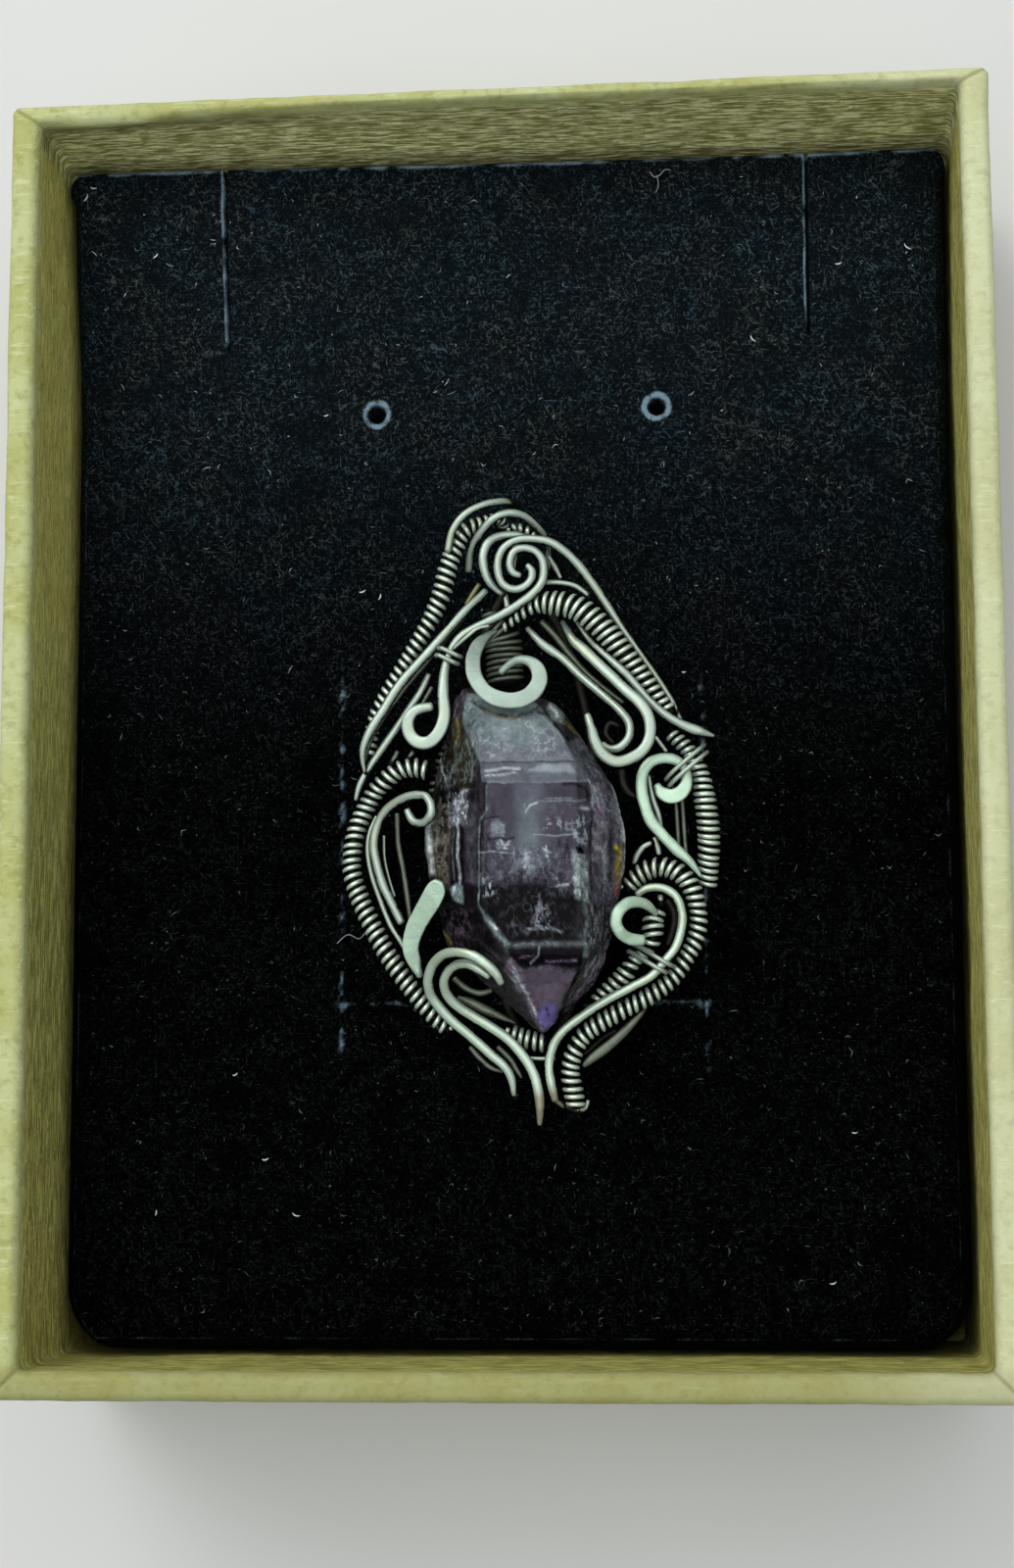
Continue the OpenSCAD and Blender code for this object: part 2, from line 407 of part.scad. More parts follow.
// What a rounded corner takes off a square one
module corner_cut(x, y, sx, sy, r) {
    translate([x, y]) difference() {
        translate([sx > 0 ? -r : -overcut, sy > 0 ? -r : -overcut]) square([r + overcut, r + overcut]);
        translate([-sx * r, -sy * r]) circle(r);
    }
}

module foam_pad() {
    pad_w = tray_w - 2 * wall_t - 2 * pad_gap;
    pad_l = tray_l - 2 * wall_t - 2 * pad_gap;
    // Ends of the cuts: side slits from the upper edge, and a cross slit between two lower ones
    slit_left = -20.6;
    slit_right = 21.9;
    slit_end = 30;
    cross_left = -12;
    cross_right = 14;
    cross_y = -18.6;
    lower_start = 5;
    lower_end = -24;
    color("#1c1d22")
    difference() {
        translate([0, 0, floor_t + seat_gap]) linear_extrude(pad_top - floor_t - seat_gap) pad_outline(pad_w, pad_l);
        slit(slit_left, slit_end, slit_left, pad_l / 2 + overcut);
        slit(slit_right, slit_end, slit_right, pad_l / 2 + overcut);
        slit(cross_left, lower_end, cross_left, lower_start);
        slit(cross_right, lower_end, cross_right, lower_start);
        slit(cross_left, cross_y, cross_right, cross_y);
        for (x = [-post_hole_left, post_hole_right])
            translate([x, post_hole_y, pad_top - slit_depth]) cylinder(d = post_hole_d, h = slit_depth + overcut);
    }
}

module crystal() {
    color("mediumpurple") translate(pendant_at) hull()
        polyhedron(points = crystal_corners, faces = [[for (i = [0:len(crystal_corners) - 1]) i]]);
}

// Bail and spiral
module bail_wire_outer() { color(silver) wire(with_width(bail_wire_outer_route, 0.55)); }
module bail_wire_inner() { color(silver) wire(with_width(bail_wire_inner_route, 0.6)); }
module bail_coil() { color(silver) coil(bail_coil_route); }
module inner_arc() { color(silver) wire(inner_arc_route); }
module spiral_right() { color(silver) wire(spiral_right_route); }
module spiral_left() { color(silver) wire(spiral_left_route); }
module centre_coil() { color(dark_silver) coil(centre_coil_route, 0.65); }
module centre_hook() { color(silver) wire(centre_hook_route); }

// Left side
module left_coil() { color(silver) coil(left_coil_route); }
module left_strand() { color(silver) wire(left_strand_route); }
module left_strand_under() { color(dark_silver) wire(left_strand_under_route); }
module left_binding() { color(silver) binding(left_binding_ends, left_binding_lead); }
module left_cross_wire() { color(silver) wire(left_cross_wire_route); }
module left_side_coil() { color(silver) coil(left_side_coil_route); }
module left_curl() { color(silver) wire(left_curl_route); }
module left_companion() { color(silver) wire(left_companion_route); }
module left_back_wire() { color(dark_silver) wire(left_back_wire_route); }
module paddle() { color(silver) wire(paddle_route); }

// Lower scrolls
module bottom_scroll_outer() { color(silver) wire(bottom_scroll_outer_route); }
module bottom_scroll_inner() { color(silver) wire(bottom_scroll_inner_route); }
module bottom_point() { color(dark_silver) wire(bottom_point_route); }
module bottom_coil() { color(silver) coil(bottom_coil_route); }
module tail_tie() { color(silver) wire(tail_tie_route); }

// Right side
module right_shoulder_coil() { color(silver) coil(right_shoulder_coil_route); }
module shoulder_wire() { color(silver) wire(shoulder_wire_route); }
module shoulder_back_wire() { color(dark_silver) wire(shoulder_back_wire_route); }
module right_long() { color(silver) wire(right_long_route); }
module right_scroll_outer() { color(silver) wire(right_scroll_outer_route); }
module right_scroll_inner() { color(silver) wire(right_scroll_inner_route); }
module ring_scroll() { color(silver) wire(ring_scroll_route); }
module right_binding() { color(silver) binding(right_binding_ends, right_binding_lead); }
module right_side_coil() { color(silver) coil(right_side_coil_route); }
module twin_wire_left() { color(dark_silver) wire(twin_wire_left_route); }
module twin_wire_right() { color(dark_silver) wire(twin_wire_right_route); }
module right_lower_coil() { color(silver) coil(right_lower_coil_route); }
module coil_stem() { color(silver) wire(coil_stem_route); }
module coil_stem_short() { color(silver) wire(coil_stem_short_route); }
module heart_wire() { color(silver) wire(heart_wire_route); }
module heart_binding() { color(silver) binding(heart_binding_ends, heart_binding_lead); }
module right_c_hook() { color(silver) wire(right_c_hook_route); }
module right_inner_coil() { color(silver) coil(right_inner_coil_route); }
module tail_chord() { color(dark_silver) wire(tail_chord_route); }
module tail_chord_thin() { color(silver) wire(tail_chord_thin_route); }

// Back of the cage, between the crystal and the pad
module back_wire_left() { color(dark_silver) wire(with_width(back_wire_left_route, wire_d)); }
module back_wire_right() { color(dark_silver) wire(with_width(back_wire_right_route, wire_d)); }

tray();
foam_pad();
crystal();
bail_wire_outer();
bail_wire_inner();
bail_coil();
inner_arc();
spiral_right();
spiral_left();
left_coil();
left_strand();
left_strand_under();
centre_coil();
centre_hook();
left_binding();
left_cross_wire();
left_side_coil();
left_curl();
left_companion();
left_back_wire();
paddle();
bottom_scroll_outer();
bottom_scroll_inner();
bottom_point();
bottom_coil();
tail_tie();
right_shoulder_coil();
shoulder_wire();
shoulder_back_wire();
right_long();
right_scroll_outer();
right_scroll_inner();
ring_scroll();
right_binding();
right_side_coil();
twin_wire_left();
twin_wire_right();
right_lower_coil();
coil_stem();
coil_stem_short();
heart_wire();
heart_binding();
right_c_hook();
right_inner_coil();
tail_chord();
tail_chord_thin();
back_wire_left();
back_wire_right();
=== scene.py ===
"""Looks of a wire-wrapped amethyst pendant lying in its kraft card tray, laid out as an add-on.

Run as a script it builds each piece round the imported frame, then the stage, light and camera.
Lengths are in millimetres until Skin.put turns them into metres. Heights in the route tables count
from the face of the pad, as in the part's own tables.
"""

import bpy
import numpy as np
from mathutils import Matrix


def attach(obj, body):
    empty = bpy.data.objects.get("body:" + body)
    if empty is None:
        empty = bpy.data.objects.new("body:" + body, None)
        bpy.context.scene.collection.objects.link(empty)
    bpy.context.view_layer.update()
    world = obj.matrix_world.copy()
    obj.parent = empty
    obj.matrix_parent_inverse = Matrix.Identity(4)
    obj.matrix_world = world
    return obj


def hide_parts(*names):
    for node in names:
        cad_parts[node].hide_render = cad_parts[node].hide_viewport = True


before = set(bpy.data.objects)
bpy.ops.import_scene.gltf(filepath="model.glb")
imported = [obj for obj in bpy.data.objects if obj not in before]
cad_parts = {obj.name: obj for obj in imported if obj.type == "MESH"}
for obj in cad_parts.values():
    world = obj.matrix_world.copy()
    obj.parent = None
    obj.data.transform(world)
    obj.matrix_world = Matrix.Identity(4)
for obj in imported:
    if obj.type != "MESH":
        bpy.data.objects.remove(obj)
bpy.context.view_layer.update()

bl_info = {
    "name": "Wire-wrapped pendant looks",
    "version": (1, 0, 0),
    "blender": (4, 5, 0),
    "location": "3D View > Sidebar > Pendant",
    "description": "Builds the looks of a wire-wrapped crystal pendant lying in its card tray",
    "category": "Object",
}

MM = 0.001
# Side of the UV map's square on the tray and the pad, in millimetres
UV_SIDE = 100
# Sizes of the box, the pad and the wires, as in the part's own source
TRAY_HALF = np.array([34.5, 45.25])
TRAY_HEIGHT = 26.0
WALL = 2.0
FLOOR = 1.5
PAD_TOP = 16.0
PAD_BASE = 1.55
PAD_HALF = np.array([32.2, 42.95])
PENDANT_AT = np.array([-0.1, -0.15, PAD_TOP])
WIRE = 0.65
FINE = 0.32
# Points of a curve from one bend of its route to the next
SPAN_STEPS = 14
# Inner centre that the crystal's skin is measured from, and the height that it stays under
CRYSTAL_CENTRE = np.array([2.0, -8.0, 6.2]) + PENDANT_AT
CRYSTAL_TOP = 27.08
# Height over the pad's face of the plane that the crystal's features were read on
READING_HEIGHT = 5.0
# The picture's camera: place, turn in degrees, focal length
CAMERA_AT = np.array([16.165, -25.494, 195.040])
CAMERA_TURN = (7.1309, 5.2162, -0.3177)
CAMERA_LENS = 58.065
# Soft lights: name, place in metres, turn in degrees, side in metres, power in watts
LIGHTS = (
    ("sky", (-0.04, 0.1, 0.55), (-10, -4, 0), 0.8, 2.7),
    ("window", (-0.28, 0.34, 0.42), (-38, -34, 0), 0.36, 1.1),
)
# How far the stage's floor lies under the box, in metres
FLOOR_GAP = 0.0005

# Cuts in the pad, a row for each: from x, y to x, y. The last one runs across, the others along the pad
CUTS = np.array([
    (-20.6, 30, -20.6, 43.5), (21.9, 30, 21.9, 43.5), (-12, -24, -12, 5), (14, -24, 14, 5),
    (-12, -18.6, 14, -18.6),
])
# Holes for ear posts: x, y
POST_HOLES = np.array([(-9.5, 24.6), (11, 24.6)])

# Routes of the wires and coils, a row for each bend: x, y, height, width where it changes
ROUTES = {
    "bail_wire_outer": [
        (-3.55, 13.2, 5.4), (-3.2, 14.6, 5.6), (-2.3, 15.7, 5.7), (-1, 16.4, 5.5), (0.3, 16.75, 4.9),
        (0.95, 16.7, 3.9), (1.15, 16.3, 2.6), (1.05, 15.5, 1.5), (0.8, 14, 1.1), (0.6, 12.4, 1.1),
    ],
    "bail_wire_inner": [
        (-2.3, 12.2, 3.3), (-2.05, 13.4, 4.1), (-1.4, 14.35, 4.9), (-0.4, 15.35, 5.4), (0.8, 15.8, 5.3),
        (1.9, 15.6, 4.8), (2.8, 14.9, 4), (3.3, 14.2, 2.9), (3.3, 13.4, 1.9), (3, 12.4, 1.3), (2.5, 11.2, 1.1),
    ],
    "bail_coil": [
        (0.6, 15.05, 3.7, 0.55), (1.2, 15.1, 3.9, 0.6), (1.75, 14.9, 4, 0.65), (2.2, 14.55, 3.9, 0.65),
        (2.45, 14.2, 3.7, 0.6),
    ],
    "inner_arc": [
        (2.2, 14.05, 4.7, 0.4), (1.2, 14.3, 4.8, 0.6), (0.1, 14.2, 5, 0.65), (-0.7, 13.7, 5.3, 0.7),
        (-1.05, 12.8, 5.4, 0.7), (-1, 11.9, 5.4, 0.68), (-0.7, 11, 5.3, 0.6), (-0.2, 10.4, 5.1, 0.5),
        (0.2, 10.1, 5, 0.4),
    ],
    "spiral_right": [
        (2.1, 11.9, 5.8, 0.45), (2.4, 11.5, 5.8, 0.6), (2.35, 10.9, 5.8, 0.62), (1.9, 10.4, 5.8, 0.62),
        (1.2, 10.2, 5.8, 0.62), (0.55, 10.45, 5.8, 0.62), (0.15, 11, 5.8, 0.62), (0, 11.8, 5.8, 0.62),
        (0.1, 12.6, 5.8, 0.6), (0.55, 13.3, 5.8, 0.6), (1.4, 13.75, 5.8, 0.6), (2.4, 13.8, 5.8, 0.6),
        (3.5, 13.6, 5.8, 0.62), (4.4, 13.1, 5.7, 0.65), (5.5, 12.1, 5.4, 0.65), (6.5, 10.8, 5.1, 0.62),
        (7.5, 9.3, 4.8, 0.58), (8.5, 7.7, 4.5, 0.5), (9.8, 5.8, 4.2, 0.42), (11.1, 3.9, 3.9, 0.4),
        (12.1, 2.2, 3.8, 0.4), (12.7, 0.7, 3.8, 0.36),
    ],
    "spiral_left": [
        (1.55, 11.2, 5.8, 0.45), (1.1, 11.4, 5.8, 0.58), (0.85, 11.95, 5.8, 0.6), (1, 12.7, 5.8, 0.6),
        (1.45, 13.1, 5.8, 0.6), (2.15, 13.1, 5.8, 0.6), (2.75, 12.8, 5.8, 0.62), (3.15, 12.2, 5.8, 0.65),
        (3.25, 11.4, 5.8, 0.65), (3.05, 10.6, 5.8, 0.65), (2.4, 9.8, 5.9, 0.65), (1.3, 9, 6, 0.65),
        (0.1, 8.3, 6, 0.65), (-1.3, 7.65, 6, 0.65), (-2.4, 7.05, 6, 0.62), (-3.1, 6.3, 6, 0.6),
        (-3.5, 5.4, 6, 0.6), (-3.75, 4.3, 6.1, 0.7), (-3.8, 2.8, 6.3, 0.8), (-3.7, 1.5, 6.4, 0.85),
        (-3.85, 0.6, 6.5, 0.88), (-4.3, -0.2, 6.5, 0.9), (-4.95, -0.6, 6.4, 0.9), (-5.7, -0.45, 6.3, 0.9),
        (-6.2, 0.15, 6.2, 0.88), (-6.3, 0.95, 6.2, 0.85), (-5.95, 1.55, 6.2, 0.8), (-5.4, 1.85, 6.2, 0.75),
        (-4.65, 1.95, 6.2, 0.7),
    ],
    "left_coil": [
        (0.2, 15.5, 1.9, 0.8), (-0.2, 15.9, 3, 0.85), (-1.2, 15.5, 4, 0.95), (-2.4, 14.8, 4.5, 1.15),
        (-3.2, 13.4, 4.5, 1.35), (-3.7, 12, 4.5, 1.45), (-4.1, 10.3, 4.5, 1.45), (-4.6, 9.1, 4.4, 1.35),
        (-5.2, 7.9, 4.4, 1.25), (-6.7, 5.4, 4.3, 1.2), (-8.2, 3, 4.1, 1.15), (-8.85, 1.7, 3.9, 1.1),
        (-9.2, 0.4, 3.8, 1), (-9.3, -1.2, 3.7, 0.9),
    ],
    "left_strand": [
        (-1, 10.4, 4.4, 0.55), (-2.4, 8.9, 5, 0.65), (-3.9, 7.1, 5.4, 0.66), (-5.4, 5.4, 5.6, 0.66),
        (-6.9, 3.7, 5.7, 0.68), (-8.1, 1.8, 5.8, 0.68), (-9, 0.4, 5.8, 0.66), (-9.55, -1, 5.7, 0.5),
        (-9.45, -2.4, 5.4, 0.25),
    ],
    "left_strand_under": [
        (-2.5, 8.6, 4.4, 0.35), (-3.9, 6.85, 4.8, 0.42), (-5.3, 5.15, 5, 0.44), (-6.6, 3.6, 5.1, 0.44),
        (-7.9, 1.8, 5.2, 0.42), (-8.8, 0.4, 5.2, 0.4), (-9.35, -0.9, 5.1, 0.35), (-9.55, -2, 4.9, 0.25),
    ],
    "centre_coil": [
        (-0.9, 9.3, 3.5, 1.2), (-0.7, 8.3, 3.5, 1.3), (0.1, 7.2, 3.4, 2.6), (0.2, 5.6, 3.4, 2.7),
        (0.3, 4, 3.4, 2.7),
    ],
    "centre_hook": [
        (-0.3, 7.4, 5.1, 0.4), (-1.1, 6.5, 6.4, 0.8), (-1.5, 5.5, 7.3, 1), (-1.55, 4.5, 7.9, 1.05),
        (-1.35, 3.6, 8.3, 1.05), (-0.7, 2.6, 8.7, 1.05), (0.2, 2, 9, 1.1), (1.3, 1.8, 9.2, 1.1),
        (2.3, 2.05, 9.2, 1.1), (2.95, 2.7, 9.1, 1.1), (3.15, 3.4, 9, 1.05), (2.95, 4.1, 8.8, 0.95),
        (2.4, 4.6, 8.5, 0.75), (1.7, 4.75, 8.3, 0.65), (1, 4.5, 8.1, 0.55), (0.4, 4, 7.9, 0.5),
    ],
    "left_cross_wire": [
        (-5.05, 4.5, 4.5, 0.45), (-5.65, 3.2, 4.6, 0.55), (-6.5, 1.9, 4.7, 0.58), (-7.35, 0.6, 4.8, 0.58),
        (-8.4, -0.9, 4.9, 0.55), (-9.25, -2.2, 5, 0.5), (-9.85, -3.3, 5, 0.45), (-10.15, -4.3, 4.9, 0.3),
    ],
    "left_side_coil": [
        (-5.15, -2.3, 4.5, 1.4), (-6.05, -2.05, 4.4, 1.4), (-7.15, -2.2, 4.3, 1.4), (-8.15, -2.9, 4.1, 1.4),
        (-8.95, -3.7, 3.8, 1.35), (-9.65, -4.9, 3.7, 1.4), (-10.25, -6.4, 3.9, 1.4), (-10.5, -8, 4.1, 1.4),
        (-10.45, -9.6, 4.2, 1.4), (-9.85, -11.4, 4.3, 1.4), (-9.05, -13.1, 4.4, 1.4), (-8.15, -14.8, 4.5, 1.4),
        (-7.05, -16.5, 4.5, 1.35), (-5.95, -18, 4.4, 1.3), (-4.85, -19.4, 4.2, 1.2), (-3.75, -20.4, 3.9, 1.1),
    ],
    "left_curl": [
        (-6.2, -5.4, 7.3, 0.5), (-5.9, -6, 7.4, 0.62), (-5.5, -6.3, 7.6, 0.65), (-4.95, -6.3, 7.9, 0.65),
        (-4.5, -5.9, 8.2, 0.66), (-4.4, -5.4, 8.2, 0.66), (-4.6, -4.8, 8, 0.66), (-5.1, -4.4, 7.7, 0.66),
        (-6.4, -4.5, 7.1, 0.66), (-7.7, -5.2, 6.5, 0.66), (-8.45, -6.3, 6.1, 0.66), (-8.7, -7.6, 6, 0.66),
        (-8.5, -8.9, 6, 0.66), (-8.1, -10.3, 6, 0.66), (-7.5, -11.6, 6, 0.64), (-6.8, -13, 5.9, 0.6),
    ],
    "left_companion": [
        (-8.6, -5.6, 5.4, 0.3), (-9.1, -6.8, 5.4, 0.36), (-9.2, -8.1, 5.4, 0.36), (-8.95, -9.6, 5.4, 0.36),
        (-8.3, -11.5, 5.4, 0.36), (-7.6, -13.2, 5.4, 0.36), (-6.8, -14.5, 5.4, 0.34), (-5.6, -16.7, 5.1, 0.25),
    ],
    "left_back_wire": [
        (-7.2, -5.4, 5, 0.4), (-7.15, -7.4, 4.8, 0.42), (-6.8, -9.4, 4.7, 0.42), (-6.5, -11.4, 4.7, 0.42),
        (-6.3, -13, 4.8, 0.35),
    ],
    "paddle": [
        (-3.85, -10.5, 8.6, 0.8), (-4.05, -10.9, 8.5, 1.3), (-4.35, -11.5, 8.3, 1.45), (-4.9, -12.3, 7.9, 1.4),
        (-5.5, -13.2, 7.4, 1.3), (-5.9, -14.1, 7, 1.2), (-6.05, -14.9, 6.7, 1.1), (-5.85, -15.8, 6.3, 0.9),
        (-5.5, -16.7, 5.9, 0.5),
    ],
    "bottom_scroll_outer": [
        (0.4, -17.4, 9.2, 0.5), (0.1, -16.8, 9.5, 0.7), (-0.5, -16.2, 9.7, 0.72), (-1.4, -15.6, 9.6, 0.72),
        (-2.5, -15.3, 9.1, 0.72), (-3.5, -15.4, 8.4, 0.72), (-4.3, -15.9, 7.6, 0.72), (-4.75, -16.7, 7, 0.72),
        (-4.85, -17.5, 6.5, 0.72), (-4.6, -18.3, 6, 0.72), (-3.5, -19.65, 5.5, 0.72), (-2, -20.95, 5.1, 0.7),
        (-0.8, -22.05, 4.9, 0.7), (0.2, -22.95, 4.7, 0.65), (0.65, -23.8, 4.5, 0.6), (0.8, -24.9, 4.3, 0.35),
    ],
    "bottom_scroll_inner": [
        (-0.5, -16.9, 8.5, 0.55), (-1.2, -16.4, 8.5, 0.68), (-2, -16.05, 8.2, 0.7), (-2.8, -16.1, 7.7, 0.7),
        (-3.4, -16.5, 7.2, 0.7), (-3.75, -17.2, 6.7, 0.7), (-3.6, -18, 6.2, 0.72), (-3, -18.75, 5.8, 0.72),
        (-1.9, -19.5, 5.4, 0.72), (-0.6, -20.3, 5.2, 0.72), (0.5, -21.1, 5, 0.72), (1.4, -22.1, 4.9, 0.72),
        (2.1, -23.2, 4.8, 0.72), (2.45, -24.3, 4.7, 0.72), (2.6, -25.6, 4.5, 0.68), (2.55, -26.9, 4.2, 0.35),
    ],
    "bottom_point": [
        (-3, -18.2, 4.6, 0.4), (-2.2, -18.5, 4.6, 0.7), (-1, -19.1, 4.6, 0.72), (0.1, -19.6, 4.5, 0.5),
        (0.9, -19.95, 4.4, 0.15),
    ],
    "bottom_coil": [
        (0.3, -20.5, 3.5, 1.25), (1.2, -20.9, 3.5, 1.4), (2.1, -21.2, 3.5, 1.4), (3, -21.4, 3.5, 1.3),
    ],
    "tail_tie": [
        (1.2, -22.3, 4.1, 0.3), (2.4, -22.4, 4.2, 0.32), (3.6, -22.4, 4.2, 0.3),
    ],
    "right_shoulder_coil": [
        (0.3, 7.7, 4.6, 0.6), (1.3, 8.4, 4.8, 0.7), (2.3, 9, 5, 1), (3.2, 9.3, 5.2, 1.6),
        (4.3, 9.2, 5.3, 1.85), (5.2, 9, 5.4, 1.85), (6.2, 8.4, 5.4, 1.85), (7.3, 7.4, 5.3, 1.8),
        (8.4, 6.1, 5.2, 1.75), (9.4, 4.85, 5, 1.6), (10.4, 3.5, 4.8, 1.4), (11.3, 2.3, 4.6, 1.25),
        (12, 1.5, 4.5, 1.1),
    ],
    "shoulder_wire": [
        (3.2, 10.9, 4.6, 0.4), (4.4, 10.85, 4.6, 0.42), (5.4, 10.6, 4.5, 0.42), (6.2, 10, 4.4, 0.4),
    ],
    "shoulder_back_wire": [
        (2.9, 8.3, 3.6, 0.5), (3.9, 7.2, 3.4, 0.55), (4.8, 6, 3.4, 0.5), (6, 4.6, 3.6, 0.42),
        (7.4, 3.3, 4, 0.4), (8.6, 2.3, 4.3, 0.35),
    ],
    "right_long": [
        (5.3, 8.3, 4.1, 0.3), (6.25, 6.85, 4.6, 0.4), (7.1, 5.85, 5.3, 0.5), (8.35, 4.6, 5.9, 0.58),
        (9.05, 3.9, 6, 0.6), (9.7, 3.1, 6, 0.6), (10.5, 2.15, 6, 0.6), (11.5, 1.2, 6, 0.62),
        (12.7, 0.45, 5.9, 0.68), (13.8, 0, 5.8, 0.7), (14.9, -0.35, 5.6, 0.2),
    ],
    "right_scroll_outer": [
        (4.4, 8.2, 3.8, 0.4), (5.15, 6.8, 4.5, 0.7), (5.95, 5.95, 5, 0.78), (7.4, 4.4, 5.8, 0.78),
        (8.8, 2.9, 6.6, 0.78), (10, 1.7, 7, 0.8), (10.55, 0.55, 7.2, 0.8), (10.5, -0.75, 7.3, 0.8),
        (9.8, -1.75, 7.4, 0.8), (8.4, -2.3, 7.5, 0.8), (7.4, -1.85, 7.6, 0.8), (6.85, -0.95, 7.7, 0.78),
        (6.6, -0.05, 7.7, 0.7), (6.3, 0.95, 7.6, 0.5),
    ],
    "right_scroll_inner": [
        (1.9, 7.8, 3.8, 0.4), (3, 6.6, 4, 0.7), (4.4, 5.5, 4.2, 0.68), (5.75, 4.1, 4.6, 0.65),
        (7.2, 2.75, 5.2, 0.65), (8.45, 1.5, 5.8, 0.65), (9.1, 0.55, 6, 0.65), (9.05, -0.45, 6.1, 0.65),
        (8.45, -1.1, 6.1, 0.65), (7.75, -1.2, 6, 0.6), (7.25, -0.85, 5.9, 0.5),
    ],
    "ring_scroll": [
        (10.95, -3.7, 5.2, 0.55), (11.25, -4.2, 5.3, 0.85), (11.85, -4.5, 5.4, 1.0), (12.45, -4.35, 5.4, 1.0),
        (12.9, -3.8, 5.3, 0.88), (13, -3.1, 5.3, 0.75), (12.75, -2.4, 5.3, 0.72), (12.15, -1.95, 5.4, 0.75),
        (11.25, -1.85, 5.5, 0.78), (10.45, -2.2, 5.6, 0.78), (9.95, -3, 5.7, 0.8), (9.9, -4.1, 5.7, 0.8),
        (10.15, -5.3, 5.7, 0.8), (10.55, -6.3, 5.6, 0.8), (11.45, -7.35, 5.5, 0.78), (12.35, -8.3, 5.4, 0.75),
        (13.15, -9.05, 5.3, 0.6), (13.85, -10, 5.1, 0.25),
    ],
    "right_side_coil": [
        (11.9, 0, 4, 1), (12.5, -0.5, 4.1, 1.15), (13.1, -1.1, 4.1, 1.15), (13.6, -2, 4.1, 1.15),
        (13.95, -2.9, 4.1, 1.35), (14.15, -4.2, 4.1, 1.55), (14.35, -5.7, 4, 1.6), (14.45, -7.2, 3.7, 1.6),
        (14.4, -8.8, 3.3, 1.55), (14.3, -10.4, 2.8, 1.4),
    ],
    "twin_wire_left": [
        (12, -3.6, 3.5, 0.35), (12.2, -5, 3.3, 0.35), (12.3, -7, 3.3, 0.35), (12.4, -8.4, 3.4, 0.35),
    ],
    "twin_wire_right": [
        (12.5, -3.6, 3.5, 0.35), (12.65, -5, 3.3, 0.35), (12.75, -7, 3.3, 0.35), (12.85, -8.6, 3.4, 0.35),
    ],
    "right_lower_coil": [
        (8.75, -10.9, 4.2, 1.2), (9.3, -10.1, 4.3, 1.4), (10.4, -9.4, 4.4, 1.45), (11.5, -9.35, 4.5, 1.45),
        (12.6, -9.95, 4.6, 1.4), (13.3, -11, 4.6, 1.35), (13.65, -12.4, 4.5, 1.3), (13.55, -14, 4.4, 1.3),
        (12.9, -15.4, 4.4, 1.25), (11.8, -17, 4.4, 1.25), (10.3, -18.15, 4.4, 1.3), (8.5, -19.05, 4.4, 1.3),
        (6.8, -20, 4.4, 1.35), (5.6, -20.9, 4.3, 1.3), (4.85, -22.3, 4.2, 1.3), (4.7, -23.6, 4.1, 1.4),
        (4.9, -24.8, 4, 1.45), (5.05, -25.7, 3.9, 1.4),
    ],
    "coil_stem": [
        (9.3, -9, 4.3, 0.44), (9.45, -8.5, 4.4, 0.46), (9.9, -7.9, 4.5, 0.44), (10.5, -7.6, 4.5, 0.4),
    ],
    "coil_stem_short": [
        (10.7, -7.3, 4.6, 0.38), (10.9, -7.9, 4.6, 0.4), (11, -8.4, 4.6, 0.38),
    ],
    "heart_wire": [
        (9.5, -11.25, 5.6, 0.5), (10.25, -10.85, 5.7, 0.6), (11.25, -10.85, 5.7, 0.62),
        (12.15, -11.45, 5.7, 0.64), (12.55, -12.55, 5.6, 0.64), (12.5, -13.65, 5.6, 0.64),
        (12.05, -14.95, 5.6, 0.64), (11.25, -15.95, 5.6, 0.64), (10.35, -16.9, 5.6, 0.64),
        (8.95, -17.65, 5.6, 0.64), (7.2, -18.55, 5.6, 0.64), (5.75, -19.45, 5.5, 0.64),
        (4.55, -20.35, 5.4, 0.64), (3.75, -21.25, 5.2, 0.64), (3.35, -22.35, 5, 0.66),
        (3.3, -23.35, 4.9, 0.66), (3.45, -24.25, 4.8, 0.64), (3.65, -25.25, 4.6, 0.5),
    ],
    "right_c_hook": [
        (10.75, -12.6, 6, 0.5), (10.2, -12.1, 6.7, 0.7), (9.5, -11.9, 7.2, 0.8), (8.85, -12.05, 7.6, 0.82),
        (8.3, -12.6, 7.9, 0.82), (8.1, -13.3, 7.9, 0.82), (8.4, -14, 7.7, 0.82), (9, -14.4, 7.3, 0.84),
        (9.9, -14.5, 6.9, 0.76),
    ],
    "right_inner_coil": [
        (10.9, -12.3, 4.6, 1.3), (10.55, -13, 4.7, 1.55), (10.5, -13.8, 4.8, 1.55), (10.4, -14.5, 4.8, 1.3),
        (9.9, -15.2, 4.7, 0.95), (9.2, -15.8, 4.6, 1.05), (8.7, -16.5, 4.6, 1.4), (8, -17.2, 4.5, 1.3),
        (7.2, -17.8, 4.4, 1.1), (6.4, -18.5, 4.3, 0.8),
    ],
    "tail_chord": [
        (10.2, -18.5, 3.8, 0.3), (9, -20, 3.8, 0.62), (7.5, -21.4, 3.8, 0.75), (6.2, -22.4, 3.8, 0.7),
        (5.6, -22.9, 3.8, 0.4),
    ],
    "tail_chord_thin": [
        (7.8, -20.5, 3.2, 0.3), (6.9, -21, 3.1, 0.3), (6.1, -21.7, 3.1, 0.3), (5.6, -22.1, 3.1, 0.28),
    ],
    "back_wire_left": [
        (0.3, 11.6, 0.6), (-1.5, 8, 0.5), (-2.4, 3, 0.5), (-2.6, -4, 0.5), (-2, -11, 0.5), (-0.5, -17, 0.7),
        (1, -20.5, 1.6), (1.4, -21.3, 2.1),
    ],
    "back_wire_right": [
